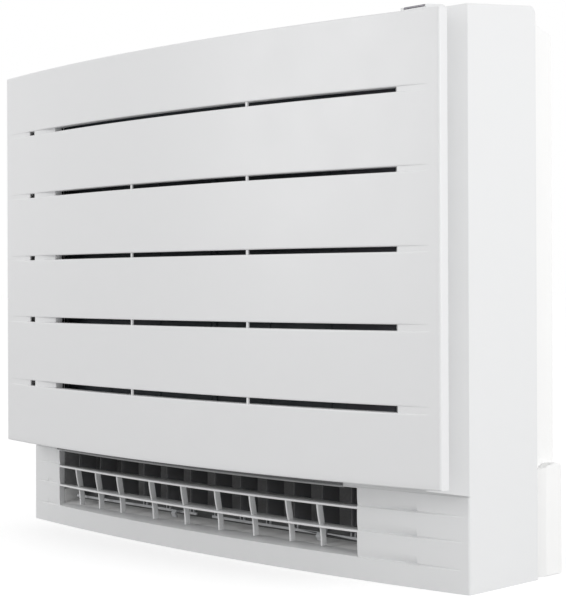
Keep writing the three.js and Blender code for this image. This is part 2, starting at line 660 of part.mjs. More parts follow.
// Upright vane turning on a round pin, modelled about that pin's axis.
function vane(v, pinUp) {
  const t = VANE_THICK / 2;
  const plan = [
    [-t, v.back], [-t, v.front + 3], [-t * 0.4, v.front], [t * 0.4, v.front], [t, v.front + 3], [t, v.back],
  ];
  const pin = pinUp ? discZ(2, v.high - 3, v.high + 8, 0, 0, 8) : discZ(2, v.low - 8, v.low + 3, 0, 0, 8);
  return union(extrudeZ(plan, v.low, v.high), pin);
}

// Tie bar under a group of vanes: two fingers straddle each vane, and a finger tab moves the lot.
function tieBar(v, group, reach, top, tab) {
  const xs = vaneXs(v).slice(group * v.perGroup, (group + 1) * v.perGroup);
  const y = v.axisY + reach;
  const bar = box(xs[0] - 8, xs.at(-1) + 8, y - 1.3, y + 1.3, top - 3, top);
  const fingers = xs.flatMap((x) => [
    box(x - FINGER_GAP - 1.5, x - FINGER_GAP, y - 1.3, y + 1.3, top - 1, top + 4.5),
    box(x + FINGER_GAP, x + FINGER_GAP + 1.5, y - 1.3, y + 1.3, top - 1, top + 4.5),
  ]);
  const hook = tab
    ? [extrudeX([[y, top - 3], [y, top], [y - 7, top + 1], [y - 10, top - 3], [y - 7, top - 8], [y - 5, top - 8], [y - 7, top - 3], [y - 5.5, top - 1.5]].reverse(), tab - 3.5, tab + 3.5)]
    : [];
  return union(bar, fingers, hook);
}

// ---- Controls -----------------------------------------------------------------------------------
const POD = { x0: 292, x1: 327, y0: -50, y1: -22, low: 576, front: 594.7, back: 597.5 };
const BUTTON = { x0: 337, x1: 351, y0: -62, y1: -48 };
const SCREW_XS = [-326, 322];
const SCREW_Z = 574;

function receiverPod() {
  const side = [
    [POD.y0, POD.low], [POD.y1, POD.low], [POD.y1, POD.back], [POD.y0 + 4, POD.front + 0.3], [POD.y0, POD.front - 0.6],
  ];
  const window = box(POD.x0 + 4.5, POD.x1 - 2, POD.y0 - 1, POD.y0 + 18, 592.2, HEIGHT + 5);
  return cut(extrudeX(side, POD.x0, POD.x1), window);
}

function receiverWindow() {
  const side = [
    [POD.y0 + 0.1, 592.5], [POD.y0 + 17.7, 592.5], [POD.y0 + 17.7, 596], [POD.y0 + 1, 594.6], [POD.y0 + 0.1, 594],
  ];
  return extrudeX(side, POD.x0 + 4.8, POD.x1 - 2.3);
}

function powerButton() {
  const side = [
    [BUTTON.y0, 572], [BUTTON.y1, 572], [BUTTON.y1, topZ(BUTTON.y1) + 1.6], [BUTTON.y0, topZ(BUTTON.y0) + 1.6],
  ];
  const cap = extrudeX(side, BUTTON.x0, BUTTON.x1);
  return union(cap, box(BUTTON.x0 + 3, BUTTON.x1 - 3, BUTTON.y0 + 3, BUTTON.y1 - 3, 568, 573));
}

const CONTROL = { x0: 318, x1: 366, y0: -34, y1: 28, z0: 108, z1: 530 };

function controlBox() {
  const c = CONTROL;
  return cut(
    box(c.x0, c.x1, c.y0, c.y1, c.z0, c.z1),
    box(c.x0 + 2, c.x1 - 2, c.y0 - 1, c.y1 - 2, c.z0 + 2, c.z1 - 2),
  );
}

function controlLid() {
  const c = CONTROL;
  const plate = box(c.x0, c.x1, c.y0 - 2.3, c.y0 - GAP, c.z0, c.z1);
  return union(plate, box(c.x0 + 10, c.x1 - 10, c.y0 - 3.8, c.y0 - 2, c.z0 + 60, c.z1 - 60));
}

function controlBoard() {
  const x = CONTROL.x1 - 6;
  const parts = [
    box(x - 20, x, -20, -2, 470, 500), box(x - 14, x, 4, 20, 440, 495), box(x - 12, x, -22, -6, 400, 440),
    box(x - 18, x, -2, 20, 330, 410), box(x - 8, x, -24, -10, 300, 340), box(x - 22, x, -20, 2, 210, 270),
    discX(8, x - 30, x, 12, 300, 10), discX(8, x - 30, x, 12, 276, 10),
  ];
  return union(box(x, x + 1.6, -28, 24, 170, 520), parts);
}

function terminalBlock() {
  const body = box(322, 360, -26, -8, 124, 148);
  const wells = times(4, (i) => box(324.5 + i * 9, 331 + i * 9, -27, -14, 127, 145));
  return cut(body, wells);
}

function casingScrew() {
  const head = discY(4.2, -2.6, 0, 0, 0, 16);
  const slots = [box(-0.5, 0.5, -3, -1.4, -2.6, 2.6), box(-2.6, 2.6, -3, -1.4, -0.5, 0.5)];
  return cut(union(head, discY(1.9, -0.5, 12, 0, 0, 10)), slots);
}

// ---- Assembly -----------------------------------------------------------------------------------
place("front_casing", frontCasing(), WHITE);
place("lower_outlet_grille", outletGrille(), WHITE);
place("front_panel", frontPanel(), WHITE);
place("rear_frame", rearFrame(), FRAME_WHITE);
place("piping_cover_left", pipingCover(-1), FRAME_WHITE);
place("piping_cover_right", pipingCover(1), FRAME_WHITE);
place("wall_bracket", wallBracket(), STEEL);

place("heat_exchanger", coil(), FIN_METAL);
place("tube_plate_left", tubePlate(-1), STEEL);
place("tube_plate_right", tubePlate(1), STEEL);
place("gas_pipe", pipe(4.76, GAS_ROUTE, 26), COPPER);
place("liquid_pipe", pipe(3.18, LIQUID_ROUTE, 26), COPPER);
place("gas_flare_nut", flareNut(22), BRASS, [281, 45, 51]);
place("liquid_flare_nut", flareNut(17), BRASS, [307, 45, 51]);
place("drain_pan", drainPan(), FOAM);
place("drain_nipple", drainNipple(), DARK, [290, -27, 0]);

const filterHeight = INTAKE_TOP - INTAKE_BOTTOM - 1;
place("air_filter_left", airFilter(284.5, filterHeight), DARK, [INTAKE_LEFT + 0.5, -72.5, INTAKE_BOTTOM + 0.5]);
place("air_filter_right", airFilter(284.5, filterHeight), DARK, [21, -72.5, INTAKE_BOTTOM + 0.5]);
place("deodorising_filter", deodorisingFilter(), DARK);

place("bell_mouth", bellMouth(), FRAME_WHITE);
const fanGroup = new THREE.Group();
fanGroup.position.set(DUCT_MIDDLE, 0, FAN_Z);
unit.add(fanGroup);
place("turbo_fan", turboFan(), GREY, [0, 0, 0], fanGroup);
place("motor_shaft", motorShaft(), STEEL, [0, 0, 0], fanGroup);
place("fan_motor", fanMotor(), STEEL, [0, 0, 0], fanGroup);

const flap = place("upper_flap", upperFlap(), WHITE, [0, ...FLAP_AXIS]);
flap.rotation.x = TOP_SLOPE;
place("flap_motor", steppingMotor(), DARK, [DUCT_RIGHT + 4, 12, 572]);
place("lower_damper", lowerDamper(), DARK, [0, ...DAMPER_AXIS]);
place("damper_motor", steppingMotor(), DARK, [DUCT_RIGHT + 4, ...DAMPER_AXIS]);

vaneXs(UPPER_VANES).forEach((x, i) =>
  place(`upper_vane_${i + 1}`, vane(UPPER_VANES, false), DARK, [x, UPPER_VANES.axisY, 0]),
);
vaneXs(LOWER_VANES).forEach((x, i) =>
  place(`lower_vane_${i + 1}`, vane(LOWER_VANES, true), DARK, [x, LOWER_VANES.axisY, 0]),
);
["left", "right"].forEach((side, i) => {
  place(`upper_tie_bar_${side}`, tieBar(UPPER_VANES, i, 17, UPPER_VANES.low - 0.6), DARK);
  place(`lower_tie_bar_${side}`, tieBar(LOWER_VANES, i, -15, LOWER_VANES.low - 1, TAB_XS[i]), GREY);
});

place("receiver_pod", receiverPod(), WHITE);
place("receiver_window", receiverWindow(), DARK);
place("on_off_button", powerButton(), WHITE);
place("control_box", controlBox(), STEEL);
place("control_box_lid", controlLid(), STEEL);
place("control_board", controlBoard(), BOARD);
place("terminal_block", terminalBlock(), DARK);
SCREW_XS.forEach((x, i) =>
  place(`casing_screw_${i ? "right" : "left"}`, casingScrew(), STEEL, [x, FRAME_FRONT_Y - GAP, SCREW_Z]),
);

export default unit;
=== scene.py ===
import math

import bmesh
import bpy
from mathutils import Matrix, Vector


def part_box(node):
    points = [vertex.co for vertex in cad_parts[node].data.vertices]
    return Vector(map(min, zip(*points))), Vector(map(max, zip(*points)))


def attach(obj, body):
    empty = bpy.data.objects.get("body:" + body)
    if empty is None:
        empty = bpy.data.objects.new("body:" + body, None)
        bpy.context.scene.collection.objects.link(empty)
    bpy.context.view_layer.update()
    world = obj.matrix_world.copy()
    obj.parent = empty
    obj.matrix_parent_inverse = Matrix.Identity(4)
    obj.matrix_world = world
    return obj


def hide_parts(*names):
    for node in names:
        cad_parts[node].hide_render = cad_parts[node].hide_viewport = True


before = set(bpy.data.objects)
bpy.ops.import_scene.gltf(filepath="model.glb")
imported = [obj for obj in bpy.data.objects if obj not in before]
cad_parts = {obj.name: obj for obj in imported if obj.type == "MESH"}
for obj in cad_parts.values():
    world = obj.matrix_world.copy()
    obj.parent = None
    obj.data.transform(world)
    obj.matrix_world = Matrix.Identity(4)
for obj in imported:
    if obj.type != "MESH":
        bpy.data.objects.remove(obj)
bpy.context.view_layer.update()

# ---- Rear frame ---------------------------------------------------------------------------------
# One deep tray of unpainted ABS that everything else is screwed to: the back, the base, both cheeks
# of the air duct and its curved floor. Its edges are left as they come from the mould.


def node(tree, kind, settings=None, **sockets):
    """Adds a node. Sockets go by name, or by number as _0, and take a value or another node's output."""
    made = tree.nodes.new(kind)
    for key, value in (settings or {}).items():
        setattr(made, key, value)
    for key, value in sockets.items():
        socket = made.inputs[int(key[1:])] if key[0] == "_" else made.inputs[key.replace("_", " ")]
        if isinstance(value, bpy.types.NodeSocket):
            tree.links.new(value, socket)
        else:
            socket.default_value = value
    return made


def link_all(tree, inputs, **sources):
    for label, source in sources.items():
        tree.links.new(source, inputs[label.replace("_", " ")])


def maths(tree, operation, *values, kind="ShaderNodeMath"):
    sockets = {f"_{i}": value for i, value in enumerate(values)}
    return node(tree, kind, {"operation": operation}, **sockets).outputs[0]


def vector_maths(tree, operation, *values):
    return maths(tree, operation, *values, kind="ShaderNodeVectorMath")


def scaled(tree, vector, factor):
    return node(tree, "ShaderNodeVectorMath", {"operation": "SCALE"}, _0=vector, Scale=factor).outputs[0]


def around_one(tree, value, amount):
    """1 plus the amount times how far a value from 0 to 1 lies over its middle."""
    return maths(tree, "MULTIPLY_ADD", maths(tree, "SUBTRACT", value, 0.5), amount, 1.0)


def mapped(tree, value, low, high, first=0.0, last=1.0, shape="LINEAR"):
    """Leads the range from first to last over to the range from low to high."""
    return node(tree, "ShaderNodeMapRange", {"interpolation_type": shape}, Value=value,
                From_Min=first, From_Max=last, To_Min=low, To_Max=high).outputs[0]


def object_place(tree):
    return node(tree, "ShaderNodeTexCoord").outputs["Object"]


def noise(tree, place, scale, detail, **more):
    return node(tree, "ShaderNodeTexNoise", Vector=place, Scale=scale, Detail=detail, **more).outputs["Fac"]


def bumped(tree, height, strength, depth, inverted=False):
    return node(tree, "ShaderNodeBump", {"invert": inverted}, Strength=strength, Distance=depth,
                Height=height).outputs[0]


def blended(tree, share, first, second):
    return node(tree, "ShaderNodeMix", {"data_type": "RGBA"}, _0=share, _6=first, _7=second).outputs[2]


def shader_group(name, inputs):
    """A node group with the given inputs that will hand out a tint, a roughness and a height."""
    group = bpy.data.node_groups.new(name, "ShaderNodeTree")
    for label, kind, value in inputs:
        socket = group.interface.new_socket(label, in_out="INPUT", socket_type="NodeSocket" + kind)
        socket.default_value = value
    for label in ("Tint", "Roughness", "Height"):
        group.interface.new_socket(label, in_out="OUTPUT", socket_type="NodeSocketFloat")
    return group, group.nodes.new("NodeGroupInput").outputs, group.nodes.new("NodeGroupOutput").inputs


def moulded_skin_group():
    group, given, out = shader_group(
        "Moulded skin",
        [("Grain Scale", "Float", 900.0), ("Mottle", "Float", 0.012), ("Gloss Low", "Float", 0.36),
         ("Gloss High", "Float", 0.46), ("Dust", "Float", 0.02)],
    )
    place = object_place(group)
    grain = noise(group, place, given["Grain Scale"], 3.0, Roughness=0.6)
    flow = noise(group, place, 5.0, 2.0, Distortion=0.8)
    cloud = noise(group, place, 23.0, 4.0, Roughness=0.55)
    normal = node(group, "ShaderNodeNewGeometry").outputs["Normal"]
    upward = node(group, "ShaderNodeSeparateXYZ", Vector=normal).outputs["Z"]
    lying = mapped(group, upward, 0.0, 1.0, 0.7, 1.0, "SMOOTHSTEP")
    dusty = maths(group, "MULTIPLY", lying, maths(group, "MULTIPLY", cloud, given["Dust"]))
    gloss = mapped(group, cloud, given["Gloss Low"], given["Gloss High"], 0.3, 0.7)
    link_all(group, out, Tint=maths(group, "SUBTRACT", around_one(group, flow, given["Mottle"]), dusty),
             Roughness=maths(group, "ADD", gloss, maths(group, "MULTIPLY", dusty, 4.0)), Height=grain)
    return group


MOULDED_SKIN = moulded_skin_group()


def blank_material(name):
    made = bpy.data.materials.new(name)
    made.use_nodes = True
    return made, made.node_tree, made.node_tree.nodes["Principled BSDF"].inputs


def grouped_material(name, colour, group, strength, depth, metallic=0.0, **settings):
    """A material whose colour, roughness and relief come from one of the shared node groups."""
    made, tree, surface = blank_material(name)
    surface["Metallic"].default_value = metallic
    skin = node(tree, "ShaderNodeGroup", {"node_tree": group}, **settings).outputs
    link_all(tree, surface, Base_Color=scaled(tree, colour, skin["Tint"]), Roughness=skin["Roughness"],
             Normal=bumped(tree, skin["Height"], strength, depth))
    return made


def moulded(name, colour, low, high, grain, depth, mottle, dust):
    return grouped_material(name, colour, MOULDED_SKIN, 0.5, depth, Grain_Scale=grain, Mottle=mottle,
                            Gloss_Low=low, Gloss_High=high, Dust=dust)


def placed(name, data):
    made = bpy.data.objects.new(name, data)
    bpy.context.scene.collection.objects.link(made)
    return made


def mesh_of(skin, name):
    mesh = bpy.data.meshes.new(name)
    skin.to_mesh(mesh)
    skin.free()
    return mesh


def smooth_by_angle(piece, degrees):
    piece.data.shade_smooth()
    piece.data.set_sharp_from_angle(angle=math.radians(degrees))


def object_of(skin, name, material, degrees):
    piece = placed(name, mesh_of(skin, name))
    piece.data.materials.append(material)
    smooth_by_angle(piece, degrees)
    return piece


WELD = 0.00002
FLAT_ANGLE = 0.004


def softened(name, source, material, radius, degrees=28, segments=2, shortest=None, without=None):
    """A welded copy of a CAD solid, its flat faces joined and its clear edges rounded.

    An edge keeps sharp where it or a neighbour is under the shortest length. The faces that a test
    picks out are left off.
    """
    skin = bmesh.new()
    skin.from_mesh(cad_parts[source].data)
    bmesh.ops.remove_doubles(skin, verts=skin.verts, dist=WELD)
    if without:
        bmesh.ops.delete(skin, geom=[face for face in skin.faces if without(face)], context="FACES")
    bmesh.ops.dissolve_limit(skin, angle_limit=FLAT_ANGLE, verts=skin.verts, edges=skin.edges)
    weight = skin.edges.layers.float.new("bevel_weight_edge")
    for edge in skin.edges:
        sharp = len(edge.link_faces) == 2 and edge.calc_face_angle(0) > math.radians(degrees)
        lengths = [other.calc_length() for vert in edge.verts for other in vert.link_edges]
        edge[weight] = 1.0 if sharp and min(lengths) > (shortest or 2.3 * radius) else 0.0
    piece = object_of(skin, name, material, degrees)
    rounding = piece.modifiers.new("Rounded edges", "BEVEL")
    rounding.width = radius
    rounding.segments = segments
    rounding.limit_method = "WEIGHT"
    evening = piece.modifiers.new("Even shading", "WEIGHTED_NORMAL")
    evening.keep_sharp = True
    return piece


FRAME_WHITE = (0.91, 0.91, 0.905)
FRAME_FINISH = (0.5, 0.62, 700.0, 0.00003, 0.02, 0.05)
# Painted shade: a dark colour on the frame inside the air duct, within the two boxes below.
DUCT_PAINTED_SHADE = (0.27, 0.27, 0.275)
DUCT_INSIDES = (((-0.3115, -0.042, 0.045), (0.2385, 0.1125, 0.152)),
                ((-0.3115, -0.018, 0.02), (0.2385, 0.1125, 0.045)))
frame_plastic = moulded("rear_frame_plastic", FRAME_WHITE, *FRAME_FINISH)


def within(tree, place, low, high):
    """1 where a place lies between two corners, 0 elsewhere."""
    least = vector_maths(tree, "MINIMUM", vector_maths(tree, "SUBTRACT", place, low),
                         vector_maths(tree, "SUBTRACT", high, place))
    x, y, z = node(tree, "ShaderNodeSeparateXYZ", Vector=least).outputs
    nearest = maths(tree, "MINIMUM", maths(tree, "MINIMUM", x, y), z)
    return maths(tree, "GREATER_THAN", nearest, 0.0)


def frame_plastic_with_painted_duct_shade():
    """The frame's plastic, with painted shade: a dark, mottled colour inside the two boxes of the air duct.
    """
    made = moulded("rear_tray_plastic", FRAME_WHITE, *FRAME_FINISH)
    tree = made.node_tree
    base = tree.nodes["Principled BSDF"].inputs["Base Color"]
    place = object_place(tree)
    inside = maths(tree, "MAXIMUM", *(within(tree, place, low, high) for low, high in DUCT_INSIDES))
    # Painted shade inside the duct, dark with a random mottle.
    duct_shade_paint = scaled(tree, DUCT_PAINTED_SHADE, mapped(tree, noise(tree, place, 300.0, 3.0), 0.8, 1.2))
    tree.links.new(blended(tree, inside, base.links[0].from_socket, duct_shade_paint), base)
    return made


tray_plastic = frame_plastic_with_painted_duct_shade()
rear_tray = softened("rear_tray", "rear_frame", tray_plastic, 0.0008)
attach(rear_tray, "cabinet")
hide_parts("rear_frame")

# ---- Pipe covers --------------------------------------------------------------------------------
# A loose cover at the foot of each side, of the same plastic as the rear frame. It clips on over the
# side way in for the pipes and is broken out where the pipes come from that side.
for side in ("left", "right"):
    cover = softened(f"pipe_cover_{side}", f"piping_cover_{side}", frame_plastic, 0.0012, segments=3)
    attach(cover, "cabinet")
    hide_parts(f"piping_cover_{side}")

# ---- Wall plate ---------------------------------------------------------------------------------
# Stamped zinc coated sheet steel, screwed to the wall first; the unit is then hung on its top lip.
# The zinc shows as a faint patchwork of crystals.


def zinc_crystals_group():
    group, given, out = shader_group(
        "Zinc crystals", [("Crystal Scale", "Float", 140.0), ("Contrast", "Float", 0.12)])
    place = object_place(group)
    bend = node(group, "ShaderNodeTexNoise", Vector=place, Scale=60.0, Detail=2.0).outputs["Color"]
    moved = vector_maths(group, "MULTIPLY_ADD", bend, (0.004, 0.004, 0.004), place)
    cells = node(group, "ShaderNodeTexVoronoi", Vector=moved, Scale=given["Crystal Scale"]).outputs
    cell = node(group, "ShaderNodeSeparateXYZ", Vector=cells["Color"]).outputs
    link_all(group, out, Tint=around_one(group, cell["X"], given["Contrast"]),
             Roughness=maths(group, "MULTIPLY_ADD", cell["Y"], 0.12, 0.34),
             Height=maths(group, "ADD", noise(group, place, 900.0, 2.0), cells["Distance"]))
    return group


ZINC_CRYSTALS = zinc_crystals_group()


def zinc_sheet(name, colour, scale=140.0, contrast=0.12, metallic=0.85):
    return grouped_material(name, colour, ZINC_CRYSTALS, 0.3, 0.00002, metallic, Crystal_Scale=scale,
                            Contrast=contrast)


zinc_plate = zinc_sheet("zinc_coated_sheet", (0.66, 0.67, 0.69))
wall_plate = softened("wall_plate", "wall_bracket", zinc_plate, 0.0003)
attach(wall_plate, "cabinet")
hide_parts("wall_bracket")

# ---- Coil ---------------------------------------------------------------------------------------
# About three hundred stamped aluminium fins on horizontal copper tubes, expanded into them, between
# two zinc coated tube plates. The fins carry a pale bluish coating that sheds water.
COIL_LOW, COIL_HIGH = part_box("heat_exchanger")


def geometry_tree(name, inputs):
    tree = bpy.data.node_groups.new(name, "GeometryNodeTree")
    tree.interface.new_socket("Geometry", in_out="INPUT", socket_type="NodeSocketGeometry")
    for label, kind, value in inputs:
        socket = tree.interface.new_socket(label, in_out="INPUT", socket_type="NodeSocket" + kind)
        if value is not None:
            socket.default_value = value
    tree.interface.new_socket("Geometry", in_out="OUTPUT", socket_type="NodeSocketGeometry")
    return tree, tree.nodes.new("NodeGroupInput").outputs, tree.nodes.new("NodeGroupOutput").inputs


def close_tree(tree, shape, material, out):
    whole = node(tree, "GeometryNodeRealizeInstances", Geometry=shape)
    coated = node(tree, "GeometryNodeSetMaterial", Geometry=whole.outputs[0], Material=material)
    tree.links.new(coated.outputs[0], out["Geometry"])


def grown(name, tree, values, seed_mesh=None):
    """Runs a geometry tree on an object and keeps the plain mesh that comes out."""
    host = placed(name + "_host", seed_mesh or bpy.data.meshes.new(name + "_seed"))
    growing = host.modifiers.new("Grow", "NODES")
    growing.node_group = tree
    sockets = {s.name: s.identifier for s in tree.interface.items_tree if s.in_out == "INPUT"}
    for label, value in values.items():
        growing[sockets[label]] = value
    ready = host.evaluated_get(bpy.context.evaluated_depsgraph_get())
    mesh = bpy.data.meshes.new_from_object(ready)
    host.modifiers.remove(growing)
    bpy.data.objects.remove(host)
    mesh.name = name
    return placed(name, mesh)


def fin_pack_tree():
    tree, given, out = geometry_tree(
        "Fin pack",
        [("Count", "Int", 300), ("First Fin", "Vector", (0, 0, 0)), ("Pitch", "Vector", (0.0018, 0, 0)),
         ("Fin Size", "Vector", (0.0002, 0.03, 0.4)), ("Material", "Material", None)],
    )
    line = node(tree, "GeometryNodeMeshLine", Count=given["Count"], Start_Location=given["First Fin"],
                Offset=given["Pitch"])
    fin = node(tree, "GeometryNodeMeshCube", Size=given["Fin Size"])
    fins = node(tree, "GeometryNodeInstanceOnPoints", Points=line.outputs[0], Instance=fin.outputs[0])
    close_tree(tree, fins.outputs[0], given["Material"], out)
    return tree


FIN_PITCH, FIN_THICKNESS = 0.0019, 0.0003
coil_size = COIL_HIGH - COIL_LOW
fin_pack = grown("coil_fins", fin_pack_tree(), {
    "Count": int(coil_size.x / FIN_PITCH),
    "First Fin": (COIL_LOW.x + 0.001, (COIL_LOW.y + COIL_HIGH.y) / 2, (COIL_LOW.z + COIL_HIGH.z) / 2),
    "Pitch": (FIN_PITCH, 0, 0),
    "Fin Size": (FIN_THICKNESS, coil_size.y, coil_size.z),
    "Material": zinc_sheet("coated_fin_aluminium", (0.62, 0.70, 0.78), 400.0, 0.05, 0.6),
})
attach(fin_pack, "cabinet")
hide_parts("heat_exchanger")


def drawn_metal_group():
    group, given, out = shader_group(
        "Drawn metal", [("Lines", "Vector", (8.0, 8.0, 600.0)), ("Tarnish", "Float", 0.1)])
    place = object_place(group)
    lines = noise(group, vector_maths(group, "MULTIPLY", place, given["Lines"]), 1.0, 4.0)
    stain = noise(group, place, 55.0, 5.0, Distortion=1.0)
    rough = maths(group, "MULTIPLY_ADD", lines, 0.16, 0.2)
    link_all(group, out, Tint=around_one(group, stain, given["Tarnish"]),
             Roughness=maths(group, "MULTIPLY_ADD", stain, 0.12, rough), Height=lines)
    return group


DRAWN_METAL = drawn_metal_group()


def drawn_metal(name, colour, lines, tarnish):
    return grouped_material(name, colour, DRAWN_METAL, 0.2, 0.00002, 1.0, Lines=lines, Tarnish=tarnish)


def catmull_route(corners, steps):
    """Points of a smooth line through the corners, in metres."""
    ends = [2 * Vector(corners[0]) - Vector(corners[1]), *map(Vector, corners),
            2 * Vector(corners[-1]) - Vector(corners[-2])]
    route = []
    for a, b, c, d in zip(ends, ends[1:], ends[2:], ends[3:]):
        for i in range(steps):
            t = i / steps
            route.append(0.5 * (2 * b + (c - a) * t + (2 * a - 5 * b + 4 * c - d) * t ** 2
                                + (3 * b - a - 3 * c + d) * t ** 3))
    return [p / 1000 for p in route + [ends[-2]]]


def points_at(skin, places):
    """Vertices at places given in millimetres."""
    return [skin.verts.new([value / 1000 for value in place]) for place in places]


def loft(skin, rings, closed_off=True):
    """Skins rings of vertices one after the other, and closes off the first and the last."""
    for near, far in zip(rings, rings[1:]):
        for k in range(len(near)):
            n = (k + 1) % len(near)
            skin.faces.new([near[k], near[n], far[n], far[k]])
    if closed_off:
        skin.faces.new(rings[0][::-1])
        skin.faces.new(rings[-1])


def tube(skin, route, radius, sides):
    """Adds a closed round tube along a route of points."""
    across = (route[1] - route[0]).normalized().orthogonal().normalized()
    angles = [2 * math.pi * k / sides for k in range(sides)]
    rings = []
    for i, point in enumerate(route):
        ahead = (route[min(i + 1, len(route) - 1)] - route[max(i - 1, 0)]).normalized()
        across = (across - ahead * across.dot(ahead)).normalized()
        up = ahead.cross(across)
        rings.append([skin.verts.new(point + radius * (across * math.cos(a) + up * math.sin(a)))
                      for a in angles])
    loft(skin, rings)


SAME_SPOT = 0.000001


def piece_from(skin, name, material, degrees=35):
    """Makes an object of a bmesh: doubles merged, faces out, smooth up to an angle."""
    bmesh.ops.remove_doubles(skin, verts=skin.verts, dist=SAME_SPOT)
    bmesh.ops.recalc_face_normals(skin, faces=skin.faces)
    return object_of(skin, name, material, degrees)


copper = drawn_metal("drawn_copper", (0.72, 0.40, 0.26), (40.0, 700.0, 700.0), 0.5)
tubes = bmesh.new()
for row in range(11):
    for depth in (-48, -32):
        z = 168.5 + row * 36
        tube(tubes, [Vector((x / 1000, depth / 1000, z / 1000)) for x in (-262, 15, 292)], 0.0032, 12)
coil_tubes = piece_from(tubes, "coil_tubes", copper)
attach(coil_tubes, "cabinet")

bends = bmesh.new()
for side, first, count, x in ((-1, 186, 6, -264.3), (1, 250, 5, 294.3)):
    for k in range(count):
        z = first + 62 * k
        arc = [(x + side * (2 + 9 * math.sin(a)), -40, z + 9 * math.cos(a))
               for a in (i * math.pi / 8 for i in range(9))]
        tube(bends, catmull_route([(x - side, -40, z + 9), *arc, (x - side, -40, z - 9)], 3), 0.0034, 14)
return_bends = piece_from(bends, "return_bends", copper)
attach(return_bends, "cabinet")
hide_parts("tube_plate_left", "tube_plate_right")


def block(skin, size, middle):
    corners = bmesh.ops.create_cube(skin, size=1.0)["verts"]
    bmesh.ops.scale(skin, verts=corners, vec=size)
    bmesh.ops.translate(skin, verts=corners, vec=middle)


SHEET_HEIGHT, SHEET_MIDDLE = 0.416, 0.353
for side, low, high, flange in (("left", -264.3, -262.3, -267.3), ("right", 292.3, 294.3, 297.3)):
    sheet_metal = bmesh.new()
    middle = ((low + high) / 2000, -0.03615, SHEET_MIDDLE)
    block(sheet_metal, ((high - low) / 1000, 0.0437, SHEET_HEIGHT), middle)
    block(sheet_metal, (0.008, 0.0015, SHEET_HEIGHT), (flange / 1000, -0.0152, SHEET_MIDDLE))
    tube_plate = piece_from(sheet_metal, f"tube_sheet_{side}", zinc_plate)
    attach(tube_plate, "cabinet")

# ---- Refrigerant pipes --------------------------------------------------------------------------
# Soft drawn copper, bent by hand from the coil down to the flare nuts above the way out in the base.
# The nuts are milled brass, left loose on the flared ends.
GAS_ROUTE = [(296.8, -48, 190), (303, -48, 190), (309, -44, 189), (311, -20, 184), (309, 5, 166),
             (298, 28, 130), (285, 42, 98), (281, 45, 78), (281, 45, 62.3)]
LIQUID_ROUTE = [(296.8, -32, 165), (301, -32, 165), (305, -28, 164.5), (308, -5, 156), (309, 20, 126),
                (308, 40, 95), (307, 45, 78), (307, 45, 62.3)]
for name, route, radius in (("gas", GAS_ROUTE, 0.00476), ("liquid", LIQUID_ROUTE, 0.00318)):
    bent = bmesh.new()
    tube(bent, catmull_route(route, 6), radius, 24)
    pipe = piece_from(bent, f"{name}_tube", copper)
    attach(pipe, "cabinet")
    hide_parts(f"{name}_pipe")

nut_brass = drawn_metal("milled_brass", (0.78, 0.60, 0.28), (300.0, 300.0, 30.0), 0.15)
for name in ("gas", "liquid"):
    nut = softened(f"{name}_nut", f"{name}_flare_nut", nut_brass, 0.0006)
    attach(nut, "cabinet")
    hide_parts(f"{name}_flare_nut")

# ---- Drain pan ----------------------------------------------------------------------------------
# Foamed polystyrene trough under the coil. Its skin shows the pressed beads.
# A black rubber nipple under its right end takes the drain hose.

def bead_foam():
    made, tree, surface = blank_material("bead_foam")
    beads = node(tree, "ShaderNodeTexVoronoi", Vector=object_place(tree), Scale=330.0).outputs["Distance"]
    tone = mapped(tree, beads, 0.86, 0.74, last=0.8)
    link_all(tree, surface, Base_Color=scaled(tree, (1.0, 1.0, 0.97), tone),
             Roughness=mapped(tree, beads, 0.7, 0.95), Normal=bumped(tree, beads, 0.6, 0.0004, True))
    return made


trough = softened("foam_trough", "drain_pan", bead_foam(), 0.0010, segments=3)
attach(trough, "cabinet")
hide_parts("drain_pan")

rubber = moulded("black_rubber", (0.028, 0.028, 0.03), 0.55, 0.7, 500.0, 0.00006, 0.1, 0.02)
nipple = softened("drain_spout", "drain_nipple", rubber, 0.0006)
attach(nipple, "cabinet")
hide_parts("drain_nipple")

# ---- Fan ----------------------------------------------------------------------------------------
# A grey turbo fan: nine backward curved blades between a cup shaped hub plate and an open shroud,
# moulded in one and held on the motor shaft by a hexagon nut. The bell mouth leads the air in.
FAN_X, FAN_Z, FAN_R = -36.5, 345.0, 165.0
HUB_R = 92.0
BLADES = 9


def lathe(skin, profile, sides=96):
    """Turns a closed (radius, y) profile round the fan's axis."""
    rings = []
    for k in range(sides):
        a = 2 * math.pi * k / sides
        rings.append(points_at(skin, [(FAN_X + r * math.cos(a), y, FAN_Z + r * math.sin(a))
                                      for r, y in profile]))
    loft(skin, rings + rings[:1], closed_off=False)


def blade_ring_tree():
    tree, given, out = geometry_tree(
        "Blade ring",
        [("Count", "Int", 9), ("Turn", "Float", 0.7), ("Centre", "Vector", (0, 0, 0)),
         ("Material", "Material", None)],
    )
    line = node(tree, "GeometryNodeMeshLine", Count=given["Count"], Start_Location=given["Centre"],
                Offset=(0.0, 0.0, 0.0))
    angle = maths(tree, "MULTIPLY", node(tree, "GeometryNodeInputIndex").outputs[0], given["Turn"])
    spin = node(tree, "ShaderNodeCombineXYZ", Y=angle)
    blades = node(tree, "GeometryNodeInstanceOnPoints", Points=line.outputs[0], Instance=given["Geometry"],
                  Rotation=spin.outputs[0])
    close_tree(tree, blades.outputs[0], given["Material"], out)
    return tree


